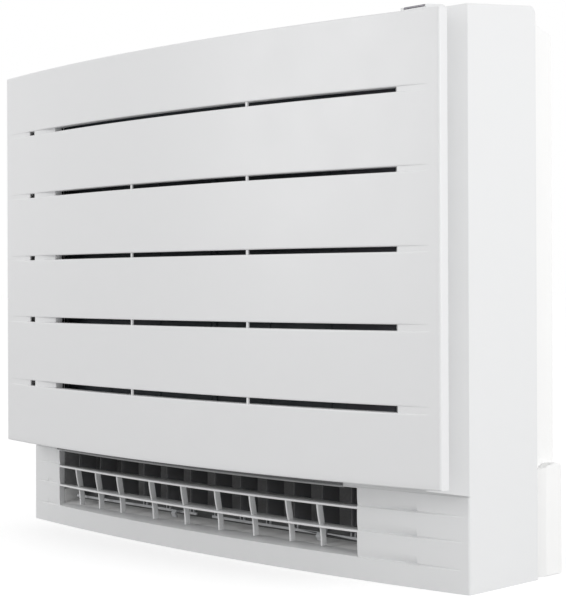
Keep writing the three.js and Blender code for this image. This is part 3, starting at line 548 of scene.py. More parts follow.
def blade_mesh():
    """One blade as a thin curved aerofoil, in metres about the fan's axis."""
    steps, half, sweep = 14, 1.25, -38
    spine = []
    for i in range(steps + 1):
        r = HUB_R + (FAN_R - 2 - HUB_R) * i / steps
        a = math.radians(sweep * i / steps)
        spine.append((r * math.cos(a), r * math.sin(a)))
    sides = ([], [])
    for i, (x, z) in enumerate(spine):
        a, b = spine[max(i - 1, 0)], spine[min(i + 1, steps)]
        length = math.hypot(b[0] - a[0], b[1] - a[1])
        normal = ((b[1] - a[1]) / length, (a[0] - b[0]) / length)
        thick = half * (0.35 + 0.65 * math.sin(math.pi * min(1, (i + 1.5) / (steps + 2))))
        sides[0].append((x + thick * normal[0], z + thick * normal[1]))
        sides[1].append((x - thick * normal[0], z - thick * normal[1]))
    skin = bmesh.new()
    loft(skin, [points_at(skin, [(x, y, z) for x, z in sides[0] + sides[1][::-1]]) for y in (3.0, 49.0)])
    bmesh.ops.recalc_face_normals(skin, faces=skin.faces)
    return mesh_of(skin, "fan_blade")


fan_plastic = moulded("fan_plastic", (0.30, 0.32, 0.35), 0.42, 0.55, 600.0, 0.00004, 0.04, 0.1)
fan_blades = grown("fan_blades", blade_ring_tree(), {
    "Count": BLADES,
    "Turn": 2 * math.pi / BLADES,
    "Centre": (FAN_X / 1000, 0.0, FAN_Z / 1000),
    "Material": fan_plastic,
}, blade_mesh())
smooth_by_angle(fan_blades, 40)
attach(fan_blades, "fan")
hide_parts("turbo_fan")

wheel = bmesh.new()
lathe(wheel, [(4.4, 14), (29, 14), (33, 15.2), (60, 45), (66, 48), (163.5, 48), (165, 49.5), (163.5, 51),
              (65, 51), (58, 48.3), (31, 18.2), (28.5, 17), (4.4, 17)])
lathe(wheel, [(123, -6), (124.5, -2), (127.5, 1.5), (138, 5.6), (151, 9), (164, 11), (165, 12.3),
              (163.8, 13.5), (150, 11.8), (137, 8.4), (126, 4.2), (122, 0.5), (120.5, -6)])
fan_wheel = piece_from(wheel, "fan_wheel", fan_plastic, 40)
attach(fan_wheel, "fan")
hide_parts("turbo_fan")

bright_steel = drawn_metal("bright_plated_steel", (0.74, 0.75, 0.77), (400.0, 12.0, 400.0), 0.08)
shaft_and_nut = softened("shaft_and_nut", "motor_shaft", bright_steel, 0.0005)
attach(shaft_and_nut, "fan")
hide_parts("motor_shaft")

motor = bmesh.new()
lathe(motor, [(4.4, 22), (18, 22), (20, 22.7), (24, 28), (26, 53), (27.5, 54.5), (45, 56), (48.6, 57.6),
              (50, 60.5), (50, 72), (49.2, 72.6), (49.2, 75.4), (50, 76), (50, 87), (48.5, 91), (45, 92.6),
              (4.4, 92.7), (4.4, 58.2)], 64)
motor_shell = piece_from(motor, "motor_shell", zinc_plate)
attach(motor_shell, "cabinet")
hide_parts("fan_motor")

bell = softened("bell_mouth_plate", "bell_mouth", frame_plastic, 0.0004, degrees=32)
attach(bell, "cabinet")
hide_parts("bell_mouth")

# ---- Louvres inside the outlets -----------------------------------------------------------------
# Dark upright vanes that are turned by hand: twelve at the foot and eight on top, each row in two
# groups whose feet stand in the fingers of a sliding tie bar. The lower tie bars are grey.
tie_bar_plastic = moulded("tie_bar_plastic", (0.45, 0.46, 0.47), 0.4, 0.5, 700.0, 0.00003, 0.03, 0.05)
dark_plastic = moulded("dark_vane_plastic", (0.14, 0.142, 0.148), 0.45, 0.6, 700.0, 0.00003, 0.1, 0.05)
for row, count, bar_finish, slot in (("lower", 12, tie_bar_plastic, "vane"),
                                     ("upper", 8, dark_plastic, "dark")):
    for number in range(1, count + 1):
        blade = softened(f"{row}_blade_{number}", f"{row}_vane_{number}", dark_plastic, 0.0003)
        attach(blade, f"{row}_vane_{number}")
        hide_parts(f"{row}_vane_{number}")
    for side in ("left", "right"):
        bar = softened(f"{row}_sliding_bar_{side}", f"{row}_tie_bar_{side}", bar_finish, 0.0003)
        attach(bar, f"{row}_tie_{side}")
        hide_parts(f"{row}_tie_bar_{side}")

damper = softened("duct_damper", "lower_damper", dark_plastic, 0.0005)
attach(damper, "damper")
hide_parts("lower_damper")

motor_case = moulded("motor_case_plastic", (0.10, 0.10, 0.105), 0.4, 0.55, 800.0, 0.00003, 0.05, 0.05)
for name in ("flap", "damper"):
    stepper = softened(f"{name}_stepper", f"{name}_motor", motor_case, 0.0006)
    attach(stepper, "cabinet")
    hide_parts(f"{name}_motor")

# ---- Electrics ----------------------------------------------------------------------------------
# A folded steel box on the right holds the green control board with its relays, coils and
# capacitors, behind a screwed lid. The supply cable ends on the black terminal block under it.
for name, source in (("wiring_box", "control_box"), ("wiring_box_lid", "control_box_lid")):
    folded = softened(name, source, zinc_plate, 0.0004)
    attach(folded, "cabinet")
    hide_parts(source)


BOARD_FACE = 0.3598


def grey(tree, tone):
    return node(tree, "ShaderNodeCombineXYZ", X=tone, Y=tone, Z=tone).outputs[0]


def circuit_board():
    """Green laminate with paler tracks, and the raised parts in front of its face in greys."""
    made, tree, surface = blank_material("green_laminate_and_parts")
    place = object_place(tree)
    x = node(tree, "ShaderNodeSeparateXYZ", Vector=place).outputs["X"]
    tracks = node(tree, "ShaderNodeTexVoronoi", {"distance": "MANHATTAN"}, Vector=place, Scale=260.0)
    track = tracks.outputs["Distance"]
    laminate = blended(tree, maths(tree, "GREATER_THAN", track, 0.42), (0.02, 0.13, 0.06, 1),
                       (0.05, 0.24, 0.11, 1))
    parts = node(tree, "ShaderNodeTexVoronoi", Vector=place, Scale=22.0).outputs["Color"]
    tone = mapped(tree, node(tree, "ShaderNodeSeparateXYZ", Vector=parts).outputs["X"], 0.03, 0.35)
    raised = maths(tree, "LESS_THAN", x, BOARD_FACE)
    link_all(tree, surface, Base_Color=blended(tree, raised, laminate, grey(tree, tone)),
             Roughness=mapped(tree, track, 0.35, 0.6))
    return made


board = softened("board_with_parts", "control_board", circuit_board(), 0.0003)
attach(board, "cabinet")
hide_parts("control_board")

terminals = softened("terminal_strip", "terminal_block", dark_plastic, 0.0003)
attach(terminals, "cabinet")
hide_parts("terminal_block")

# ---- Front casing -------------------------------------------------------------------------------
# One large white moulding with a faint sheen: sides, sloping top, slanted columns beside the panel
# and the bowed face round the outlet, whose two lips run on beside it as grooves like pillow seams.
HALF_WIDTH = 375.0
CORNER_ROUND = 3.0
LOWER_EDGE, LOWER_SAG, LOWER_TOP = -42.0, 26.0, 106.5
OUTLET_LEFT, OUTLET_RIGHT, OUTLET_TOP = -308.0, 235.0, 96.3
POCKET_LEFT, POCKET_RIGHT, LINE_END = -338.0, 311.0, 368.0
SEAL_LEFT, SEAL_RIGHT = -315.0, 216.0
FACE_WALL = 8.0
GROOVE_FEET = (23.2, 51.4, 77.0)
NEAR = 0.05


def bowed(x, edge, sag):
    """Depth (y) of a bowed line at one place along the width, from its depth at the ends and its bow."""
    return edge - sag * (1 - (x / HALF_WIDTH) ** 2)


def lower_face(x):
    """Depth of the bowed face, with its two upright corners rounded."""
    past = abs(x) - (HALF_WIDTH - CORNER_ROUND)
    if past <= 0:
        return bowed(x, LOWER_EDGE, LOWER_SAG)
    turned = CORNER_ROUND - math.sqrt(max(0, CORNER_ROUND ** 2 - past ** 2))
    return bowed(HALF_WIDTH - CORNER_ROUND, LOWER_EDGE, LOWER_SAG) + turned


def on_lower_front(face):
    """Whether a face of the solid belongs to the bowed face or the outlet's jambs, made anew below."""
    centre, corners = face.calc_center_median() * 1000, [v.co * 1000 for v in face.verts]
    depths = [v.y - lower_face(v.x) for v in corners]
    if min(depths) < -0.3 or not 0.01 < centre.z < LOWER_TOP - NEAR:
        return False
    for jamb in (OUTLET_LEFT, OUTLET_RIGHT):
        if all(abs(v.x - jamb) < NEAR and 22 < v.z < OUTLET_TOP + 0.1 for v in corners):
            return max(depths) < FACE_WALL + 0.3
    beside = centre.x > OUTLET_RIGHT - 1.2 or centre.x < OUTLET_LEFT + 1.2
    return max(depths) < (7.5 if beside and centre.z < OUTLET_TOP - NEAR else 0.4)


def groove_at(x):
    """Depth, rise and run-out of the grooves beside the outlet at one place along the face."""
    if x > 0:
        along = x
    elif x > POCKET_LEFT:
        squeeze = (POCKET_RIGHT - OUTLET_RIGHT) / (OUTLET_LEFT - POCKET_LEFT)
        along = OUTLET_RIGHT + (OUTLET_LEFT - x) * squeeze
    else:
        squeeze = (LINE_END - POCKET_RIGHT) / (LINE_END + POCKET_LEFT)
        along = POCKET_RIGHT + (POCKET_LEFT - x) * squeeze
    if along < POCKET_RIGHT + 0.7:
        share = min(1.0, (along - OUTLET_RIGHT) / (POCKET_RIGHT - OUTLET_RIGHT))
        return (1.0 + 3.4 * share) if x > 0 else 1.0, 0.9 + 0.6 * share, 12 - 3 * share
    fade = min(1.0, (along - POCKET_RIGHT) / (LINE_END - POCKET_RIGHT))
    return (1.6 if x > 0 else 0.8) * (1 - fade), 0.7, 2.4


def face_rows(x):
    """Heights and depths of the face from the floor up, at one place beside the outlet."""
    depth, rise, run = groove_at(x)
    rows = [(0.0, 0.0), (1.0, 0.0), (11.0, 0.0), (21.0, 0.0)]
    for foot in GROOVE_FEET:
        rows += [(foot - 0.3, 0.0), (foot, 0.0), (foot + rise * 0.37, depth * 0.37), (foot + rise, depth)]
        for share in (0.05, 0.12, 0.22, 0.34, 0.48, 0.64, 0.82, 1.0):
            rows.append((foot + rise + run * share, depth * (1 - share) ** 2.2))
        rows += [(foot + 15.5, 0.0)]
    return rows + [(OUTLET_TOP, 0.0)]


def face_patch(skin, stations, rows_at):
    grid = [points_at(skin, [(x, lower_face(x) + depth, z) for z, depth in rows_at(x)]) for x in stations]
    for left, right in zip(grid, grid[1:]):
        for k in range(len(left) - 1):
            skin.faces.new([left[k], right[k], right[k + 1], left[k + 1]])
    return grid


def spread(low, high, step):
    count = max(1, round((high - low) / step))
    return [low + (high - low) * i / count for i in range(count + 1)]


white_plastic = moulded("white_casing_plastic", (0.80, 0.805, 0.81), 0.3, 0.38, 1100.0, 0.000012, 0.006, 0.01)
casing = softened("casing_shell", "front_casing", white_plastic, 0.0011, 24, 3, shortest=0.0026,
                  without=on_lower_front)
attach(casing, "cabinet")
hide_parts("front_casing")

TOP_STRIP = [(OUTLET_TOP, 0.0), (96.9, 0.06), (97.3, 0.25), (97.5, 0.7), (105.2, 0.7), (106.1, 1.0),
             (LOWER_TOP, 1.7)]
SILL_TOP = 23.2
SEAM, NO_AREA = 0.000005, 1e-12
corner_stations = [HALF_WIDTH - CORNER_ROUND * (1 - math.sin(math.radians(a))) for a in range(0, 91, 15)]
right_stations = [OUTLET_RIGHT, 236.0, 237.5, *spread(240, POCKET_RIGHT, 4), 312.4, *spread(317, LINE_END, 5),
                  *corner_stations]
left_stations = [-x for x in (*corner_stations[::-1], *spread(1 - POCKET_LEFT, LINE_END, 5)[::-1])]
left_stations += spread(POCKET_LEFT, SEAL_LEFT, 4) + spread(SEAL_LEFT, OUTLET_LEFT, 2)[1:]
front_skin = bmesh.new()
right_grid = face_patch(front_skin, right_stations, face_rows)
left_grid = face_patch(front_skin, left_stations, face_rows)
for stations, rows in (
    (spread(OUTLET_LEFT, OUTLET_RIGHT, 9), [(z, 0.0) for z in (0, 1, 11, 21, 22.9, SILL_TOP, 24)]),
    ([x for x in left_stations if x < SEAL_LEFT + 0.1], TOP_STRIP),
    (right_stations, TOP_STRIP),
    (spread(SEAL_RIGHT, OUTLET_RIGHT, 5), [(OUTLET_TOP - 0.02, FACE_WALL), *TOP_STRIP]),
):
    face_patch(front_skin, stations, lambda x: rows)
for column in (right_grid[0], left_grid[-1][::-1]):
    upright = [v for v in column if 0.0239 < v.co.z < 0.0964 or abs(v.co.z - SILL_TOP / 1000) < SAME_SPOT]
    back = (lower_face(column[0].co.x * 1000) + FACE_WALL) / 1000
    inner = [front_skin.verts.new((v.co.x, back, v.co.z)) for v in upright]
    for a, b, c, d in zip(upright, upright[1:], inner[1:], inner):
        front_skin.faces.new([a, b, c, d])
bmesh.ops.remove_doubles(front_skin, verts=front_skin.verts, dist=SEAM)
for flat in [f for f in front_skin.faces if f.calc_area() < NO_AREA]:
    front_skin.faces.remove(flat)
outlet_face = object_of(front_skin, "outlet_face", white_plastic, 24)
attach(outlet_face, "cabinet")
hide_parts("front_casing")

# ---- Lower outlet grille ------------------------------------------------------------------------
# Two bowed lips across the outlet, tied by nine thin upright ribs that curve back towards the floor.
# It is moulded in the casing's plastic and snaps in between the jambs.
BAR_TOPS = (76.3, 51.8)
BAR_HEIGHT = 2.4
BAR_BACK = -42.0
RIB_PLACES = (-268, -221.5, -173, -105, -43.5, 17, 75, 132, 178)


def bowed_strip(skin, x0, x1, section_at):
    """Adds a closed bar along the bowed face; section_at gives its (y, z) outline for the face's y."""
    loft(skin, [points_at(skin, [(x, y, z) for y, z in section_at(lower_face(x))])
                for x in spread(x0, x1, 7)])


def bar_section(front, top):
    """Outline of one lip: rounded at the face, thinner towards its back edge."""
    low = top - BAR_HEIGHT
    return [(front, low + 0.5), (front, top - 0.5), (front + 0.15, top - 0.15), (front + 0.5, top),
            (BAR_BACK - 1, top - 0.1), (BAR_BACK, top - 0.9), (BAR_BACK, low + 0.9),
            (BAR_BACK - 1, low + 0.1), (front + 0.5, low), (front + 0.15, low + 0.15)]


def rib_mesh():
    """One rib about its own place on the bowed line, in metres."""
    front = [(1.0, 75.2), (1.5, 71), (2.2, 66), (3.0, 61.5), (4.0, 57), (5.1, 53), (6.0, 50), (6.8, 45),
             (7.4, 40), (7.8, 34), (8.0, 28.4)]
    rear = [(15.5, 28.4), (14.8, 38), (13.8, 46), (12.3, 54), (10.9, 62), (9.6, 69), (8.6, 75.2)]
    skin = bmesh.new()
    loft(skin, [points_at(skin, [(x, y, z) for y, z in front + rear]) for x in (-1.2, 1.2)])
    bmesh.ops.recalc_face_normals(skin, faces=skin.faces)
    rims = [e for e in skin.edges if abs(e.verts[0].co.x - e.verts[1].co.x) < 1e-7]
    bmesh.ops.bevel(skin, geom=rims, offset=0.0004, segments=2, affect="EDGES", clamp_overlap=True)
    return mesh_of(skin, "grille_rib")


def ribs_on_bow_tree():
    tree, given, out = geometry_tree(
        "Ribs on a bowed line",
        [("Rib", "Object", None), ("Half Width", "Float", 0.375), ("Edge Y", "Float", -0.042),
         ("Sag", "Float", 0.026), ("Material", "Material", None)],
    )
    place = node(tree, "ShaderNodeSeparateXYZ", Vector=node(tree, "GeometryNodeInputPosition").outputs[0])
    share = maths(tree, "DIVIDE", place.outputs["X"], given["Half Width"])
    left_over = maths(tree, "SUBTRACT", 1.0, maths(tree, "POWER", maths(tree, "ABSOLUTE", share), 2.0))
    y = maths(tree, "SUBTRACT", given["Edge Y"], maths(tree, "MULTIPLY", left_over, given["Sag"]))
    spot = node(tree, "ShaderNodeCombineXYZ", X=place.outputs["X"], Y=y)
    moved = node(tree, "GeometryNodeSetPosition", Geometry=given["Geometry"], Position=spot.outputs[0])
    rib = node(tree, "GeometryNodeObjectInfo", Object=given["Rib"]).outputs["Geometry"]
    ribs = node(tree, "GeometryNodeInstanceOnPoints", Points=moved.outputs[0], Instance=rib)
    close_tree(tree, ribs.outputs[0], given["Material"], out)
    return tree


bars_skin = bmesh.new()
for top in BAR_TOPS:
    bowed_strip(bars_skin, OUTLET_LEFT + 0.3, OUTLET_RIGHT - 0.3, lambda front: bar_section(front, top))
outlet_bars = piece_from(bars_skin, "outlet_lips", white_plastic, 50)
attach(outlet_bars, "cabinet")
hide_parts("lower_outlet_grille")

rib_pattern = placed("rib_pattern", rib_mesh())
places = bpy.data.meshes.new("rib_places")
places.from_pydata([(x / 1000, 0, 0) for x in RIB_PLACES], [], [])
outlet_ribs = grown("outlet_ribs", ribs_on_bow_tree(), {
    "Rib": rib_pattern,
    "Half Width": HALF_WIDTH / 1000,
    "Edge Y": LOWER_EDGE / 1000,
    "Sag": LOWER_SAG / 1000,
    "Material": white_plastic,
}, places)
bpy.data.objects.remove(rib_pattern)
smooth_by_angle(outlet_ribs, 35)
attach(outlet_ribs, "cabinet")
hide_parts("lower_outlet_grille")

# ---- Seal bead and painted shade over the outlet ------------------------------------------------
# A dark grey strip fills a recess over the outlet and closes the gap behind the panel's lower
# edge; its colour is painted shade of recess and gap. A paler rubber bead runs along its foot.
# Painted shade: the dark strip's colour stands for the shade in the recess and in the gap under the panel.
painted_recess_shade = moulded("painted_recess_shade", (0.17, 0.172, 0.175), 0.55, 0.7, 500.0, 0.00004, 0.08, 0.05)
bead_rubber = moulded("bead_rubber", (0.40, 0.405, 0.41), 0.5, 0.65, 500.0, 0.00004, 0.06, 0.05)
seal_skin = bmesh.new()
bowed_strip(seal_skin, SEAL_LEFT + 0.3, SEAL_RIGHT - 0.3, lambda front: [
    (front + 0.5, 97.6), (front + 0.3, 97.8), (front + 0.3, 105.8), (front + 0.5, 106), (front + 2.95, 106),
    (front + 2.95, 97.6)])
rubber_seal = piece_from(seal_skin, "rubber_seal", painted_recess_shade, 50)
bead_skin = bmesh.new()
bowed_strip(bead_skin, SEAL_LEFT + 0.5, SEAL_RIGHT - 0.5, lambda front: [
    (front + 0.6, 95.2), (front + 0.2, 95.5), (front + 0.05, 96.0), (front + 0.05, 96.9), (front + 0.2, 97.3),
    (front + 0.6, 97.55), (front + 2.9, 97.55), (front + 2.9, 95.2)])
seal_bead = piece_from(bead_skin, "seal_bead", bead_rubber, 50)
for piece in (rubber_seal, seal_bead):
    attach(piece, "cabinet")

# ---- Upper flap ---------------------------------------------------------------------------------
# White blade that closes the upper outlet flush with the sloping top and lifts at its front edge.
flap = softened("top_flap", "upper_flap", white_plastic, 0.0005)
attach(flap, "flap")
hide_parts("upper_flap")

# ---- Signal receiver and button -----------------------------------------------------------------
# A small raised housing on the right of the top, with a smoked window for the remote signal in its
# front corner, and a round edged push button beside it.
pod = softened("receiver_housing", "receiver_pod", white_plastic, 0.0008, segments=3)
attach(pod, "cabinet")
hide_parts("receiver_pod")

smoked = moulded("smoked_window", (0.10, 0.085, 0.12), 0.1, 0.2, 500.0, 0.00001, 0.15, 0.02)
smoked.node_tree.nodes["Principled BSDF"].inputs["Coat Weight"].default_value = 0.6
window = softened("receiver_lens", "receiver_window", smoked, 0.0003)
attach(window, "cabinet")
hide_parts("receiver_window")

button = softened("push_button", "on_off_button", white_plastic, 0.0008, segments=3)
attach(button, "button")
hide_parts("on_off_button")

# ---- Casing screws ------------------------------------------------------------------------------
# Two cross head screws behind the panel's top corners hold the casing to the rear frame.
for side in ("left", "right"):
    screw = softened(f"cross_head_screw_{side}", f"casing_screw_{side}", bright_steel, 0.0004)
    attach(screw, "cabinet")
    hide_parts(f"casing_screw_{side}")

# ---- Filters ------------------------------------------------------------------------------------
# Two washable filters of fine dark net, welded into a ribbed frame, slide in behind the panel.
# A black honeycomb cartridge clips in behind the left one.
NET_PITCH, NET_STRAND, NET_MARGIN = 0.0022, 0.0007, 0.006


def net_tree():
    tree, given, out = geometry_tree(
        "Filter net",
        [("Columns", "Int", 100), ("Rows", "Int", 200), ("Corner", "Vector", (0, 0, 0)),
         ("Pitch", "Float", 0.0022), ("Strand", "Float", 0.0005), ("Width", "Float", 0.28),
         ("Height", "Float", 0.44), ("Material", "Material", None)],
    )
    x, y, z = node(tree, "ShaderNodeSeparateXYZ", Vector=given["Corner"]).outputs
    half_width = maths(tree, "MULTIPLY_ADD", given["Width"], 0.5, x)
    half_height = maths(tree, "MULTIPLY_ADD", given["Height"], 0.5, z)
    pitch, strand = given["Pitch"], given["Strand"]
    joined = node(tree, "GeometryNodeJoinGeometry")
    for count, start, step, size in (
        (given["Columns"], {"X": x, "Z": half_height}, {"X": pitch}, {"X": strand, "Z": given["Height"]}),
        (given["Rows"], {"X": half_width, "Z": z}, {"Z": pitch}, {"X": given["Width"], "Z": strand}),
    ):
        line = node(tree, "GeometryNodeMeshLine", Count=count,
                    Start_Location=node(tree, "ShaderNodeCombineXYZ", Y=y, **start).outputs[0],
                    Offset=node(tree, "ShaderNodeCombineXYZ", **step).outputs[0])
        thread = node(tree, "GeometryNodeMeshCube",
                      Size=node(tree, "ShaderNodeCombineXYZ", Y=strand, **size).outputs[0])
        threads = node(tree, "GeometryNodeInstanceOnPoints", Points=line.outputs[0],
                       Instance=thread.outputs[0])
        tree.links.new(threads.outputs[0], joined.inputs[0])
    close_tree(tree, joined.outputs[0], given["Material"], out)
    return tree


filter_plastic = moulded("filter_plastic", (0.045, 0.055, 0.065), 0.45, 0.6, 700.0, 0.00004, 0.1, 0.05)
tape_grey = moulded("grey_foam_tape", (0.085, 0.085, 0.10), 0.6, 0.8, 400.0, 0.00006, 0.1, 0.05)
filter_net = net_tree()
for side in ("left", "right"):
    low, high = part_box(f"air_filter_{side}")
    width, height = high.x - low.x - 2 * NET_MARGIN, high.z - low.z - 2 * NET_MARGIN
    net = grown(f"filter_net_{side}", filter_net, {
        "Columns": int(width / NET_PITCH),
        "Rows": int(height / NET_PITCH),
        "Corner": (low.x + NET_MARGIN, low.y + 0.0025, low.z + NET_MARGIN),
        "Pitch": NET_PITCH,
        "Strand": NET_STRAND,
        "Width": width,
        "Height": height,
        "Material": filter_plastic,
    })
    ribbed = softened(f"filter_frame_{side}", f"air_filter_{side}", filter_plastic, 0.0004)
    for piece in (net, ribbed):
        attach(piece, "cabinet")
        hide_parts(f"air_filter_{side}")


# Beside the net the right filter has a solid end, and grey foam tape edges the intake on the left.
for name, x0, x1, y0, y1 in (("filter_end_plate", 236, 304, -73.1, -71.9),
                             ("intake_edge_tape", -289, -265.4, -74.1, -73.02)):
    strip = bmesh.new()
    block(strip, ((x1 - x0) / 1000, (y1 - y0) / 1000, 0.438), ((x0 + x1) / 2000, (y0 + y1) / 2000, 0.344))
    bmesh.ops.bevel(strip, geom=strip.edges[:], offset=0.0003, segments=2, affect="EDGES")
    edging = piece_from(strip, name, tape_grey)
    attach(edging, "cabinet")


def honeycomb():
    made = moulded("carbon_honeycomb", (0.02, 0.02, 0.02), 0.7, 0.9, 500.0, 0.00003, 0.1, 0.05)
    tree = made.node_tree
    cells = node(tree, "ShaderNodeTexVoronoi", {"feature": "DISTANCE_TO_EDGE"}, Vector=object_place(tree),
                 Scale=280.0, Randomness=0.15)
    wall = mapped(tree, cells.outputs["Distance"], 0.0, 1.0, 0.03, 0.12)
    link_all(tree, tree.nodes["Principled BSDF"].inputs, Normal=bumped(tree, wall, 1.0, 0.002, True))
    return made


cartridge = softened("honeycomb_cartridge", "deodorising_filter", honeycomb(), 0.0004)
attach(cartridge, "cabinet")
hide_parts("deodorising_filter")

# ---- Front panel --------------------------------------------------------------------------------
# White bowed cover in six bands, parted by five intake slots with rounded lips and thin bridges.
# The slots run on to both ends as fading grooves. It hangs on two lugs at its foot and tips forward.
PANEL_EDGE, PANEL_SAG = -85.0, 34.0
PANEL_FOOT, PANEL_HEAD = 108.0, 581.5
PANEL_RIM, PANEL_SKIN, BRIDGE_BACK = 11.6, 3.0, 3.6
RIM_ROUND, SIDE_ROUND, LIP_ROUND = 1.6, 2.4, 1.1
SLOT_LIP = 2.2
STEP = 0.05
SLOT_START, SLOT_END = -240.0, 324.5
NOTCH_START, NOTCH_OPEN, NOTCH_END = -319.0, -309.0, -292.0
GROOVE_START, GROOVE_END = -367.0, 362.0
BRIDGES, BRIDGE_HALF = (-71.0, 126.0), 1.4
SLOTS = ((185.6, 6.9), (266.9, 6.4), (345.1, 5.4), (424.7, 5.4), (504.2, 5.1))  # middle, height


def quarter(radius):
    """(distance from the edge, depth) along a rounded edge, from the edge inwards."""
    return [(radius * (1 - math.cos(a)), radius * (1 - math.sin(a)))
            for a in (math.radians(d) for d in (0, 22.5, 45, 67.5, 90))]


def edge_depth(distance, radius):
    if distance >= radius:
        return 0.0
    return radius - math.sqrt(max(0.0, radius ** 2 - (radius - distance) ** 2))


def slot_strength(x):
    """How far the slot's rounded lips are formed: 1 along the slot, 0 where the grooves have faded."""
    if x < NOTCH_START:
        return 0.5 * max(0.0, (x - GROOVE_START) / (NOTCH_START - GROOVE_START))
    if x < NOTCH_END:
        return 0.5 + 0.5 * (x - NOTCH_START) / (NOTCH_END - NOTCH_START)
    if x < SLOT_START:
        return min(1.0, 0.1 + 1.8 * (x - NOTCH_END) / (SLOT_START - NOTCH_END))
    if x <= SLOT_END:
        return 1.0
    return max(0.0, 1 - (x - SLOT_END) / (GROOVE_END - SLOT_END))


def slot_floor(x):
    """Depth of the closed parts that carry a slot on: notch and ramp on the left, groove on the right."""
    if x < NOTCH_START:
        return 0.6 * max(0.0, (x - GROOVE_START) / (NOTCH_START - GROOVE_START))
    if x < NOTCH_END:
        return min(2.2, 0.6 + 1.6 * (x - NOTCH_START) / (NOTCH_OPEN - NOTCH_START))
    if x < SLOT_START:
        return 0.1 + 10.3 * ((x - NOTCH_END) / (SLOT_START - NOTCH_END)) ** 1.4
    if x <= SLOT_END:
        return 1.6
    return 1.1 * max(0.0, 1 - (x - SLOT_END) / (GROOVE_END - SLOT_END))


def panel_rows(x):
    """(height, front depth, back depth, slot opened above it) at one station, from the foot to the head."""
    strength, floor = slot_strength(x), slot_floor(x)
    closed = x < NOTCH_END - 0.5 or min(abs(x - b) for b in BRIDGES) < BRIDGE_HALF + 0.1
    behind = BRIDGE_BACK if closed else PANEL_RIM
    edge = LIP_ROUND * strength
    rounded = quarter(LIP_ROUND)
    rows = [(PANEL_FOOT + d, depth, PANEL_RIM, 0) for d, depth in quarter(RIM_ROUND)]
    rows += [(115.5, 0.0, PANEL_RIM, 0), (115.5 + STEP, 0.0, PANEL_SKIN, 0)]
    for number, (z, height) in enumerate(SLOTS, 1):
        low, high = z - height / 2, z + height / 2
        rows += [(low - SLOT_LIP - STEP, 0.0, PANEL_SKIN, 0), (low - SLOT_LIP, 0.0, PANEL_RIM, 0)]
        rows += [(low - d, depth * strength, PANEL_RIM, 0) for d, depth in rounded[:0:-1]]
        rows.append((low, edge, PANEL_RIM, number))
        rows += [(inside, max(floor, edge), behind, number) for inside in (low + 0.3, high - 0.3)]
        rows += [(high + d, depth * strength, PANEL_RIM, 0) for d, depth in rounded]
        rows += [(high + SLOT_LIP, 0.0, PANEL_RIM, 0), (high + SLOT_LIP + STEP, 0.0, PANEL_SKIN, 0)]
    top = PANEL_HEAD - PANEL_SKIN
    rows += [(top - STEP, 0.0, PANEL_SKIN, 0), (top, 0.0, PANEL_RIM, 0)]
    rows += [(PANEL_HEAD - d, depth, PANEL_RIM, 0) for d, depth in quarter(RIM_ROUND)[::-1]]
    return rows


def panel_stations():
    ends = [HALF_WIDTH - d for d, _ in quarter(SIDE_ROUND)] + [HALF_WIDTH - PANEL_SKIN - STEP]
    fixed = [SLOT_START, SLOT_END, SLOT_END + 0.6, NOTCH_START, NOTCH_OPEN, NOTCH_END - 0.6, NOTCH_END,
             NOTCH_END + 4, GROOVE_START, GROOVE_END]
    fixed += [b + s * BRIDGE_HALF for b in BRIDGES for s in (-1, 1)]
    fixed += ends + [-e for e in ends]
    fill = [x for x in spread(-370, 370, 6.5) if min(abs(x - f) for f in fixed) > 1.5]
    return sorted(fixed + fill)


def is_open(number, x0, x1):
    """Whether the slot of this number is cut through between two stations; the top one has one bridge."""
    middle = (x0 + x1) / 2
    if number == 0:
        return False
    if NOTCH_OPEN < middle < NOTCH_END - 0.6:
        return True
    bridges = BRIDGES[1:] if number == len(SLOTS) else BRIDGES
    return SLOT_START < middle < SLOT_END and all(abs(middle - b) > BRIDGE_HALF for b in bridges)


def panel_shell(skin):
    stations = panel_stations()
    columns = [panel_rows(x) for x in stations]
    front, back = [], []
    for x, column in zip(stations, columns):
        y = bowed(x, PANEL_EDGE, PANEL_SAG)
        to_side = HALF_WIDTH - abs(x)
        turned = edge_depth(to_side, SIDE_ROUND)
        front.append(points_at(skin, [(x, y + min(max(d, turned) + 0.3 * min(d, turned), 10.5), z)
                                      for z, d, _, _ in column]))
        back.append(points_at(skin, [(x, y + (PANEL_RIM if to_side < PANEL_SKIN else b), z)
                                     for z, _, b, _ in column]))
    across, upward = len(stations) - 1, len(columns[0]) - 1
    kept = [[not is_open(columns[i][j][3], stations[i], stations[i + 1]) for j in range(upward)]
            for i in range(across)]
    for i in range(across):
        for j in range(upward):
            if not kept[i][j]:
                continue
            skin.faces.new([front[i][j], front[i + 1][j], front[i + 1][j + 1], front[i][j + 1]])
            skin.faces.new([back[i][j], back[i][j + 1], back[i + 1][j + 1], back[i + 1][j]])
            walls = [(i - 1, j, (i, j), (i, j + 1)), (i + 1, j, (i + 1, j + 1), (i + 1, j)),
                     (i, j - 1, (i + 1, j), (i, j)), (i, j + 1, (i, j + 1), (i + 1, j + 1))]
            for column, row, (a, b), (c, d) in walls:
                if not (0 <= column < across and 0 <= row < upward and kept[column][row]):
                    skin.faces.new([front[a][b], front[c][d], back[c][d], back[a][b]])


def lug_arc(radius, first, last):
    """Points round the line that the panel tips on."""
    return [(-78 + radius * math.cos(a), 114 + radius * math.sin(a))
            for a in (math.radians(d) for d in range(first, last + 1, 15))]


def hinge_lugs(skin):
    """On each side an arm with a round end, and a pin that stands out of it."""
    arm = lug_arc(4.4, -90, 90) + [(-92, 118.4), (-92, 109.6)]
    pin = lug_arc(2.4, -90, 90) + lug_arc(2.4, 105, 255)
    for side in (-1, 1):
        for ring, x0, x1 in ((arm, 301.4, 304.4), (pin, 296.0, 302.4)):
            loft(skin, [points_at(skin, [(side * x, y, z) for y, z in ring]) for x in (x0, x1)])


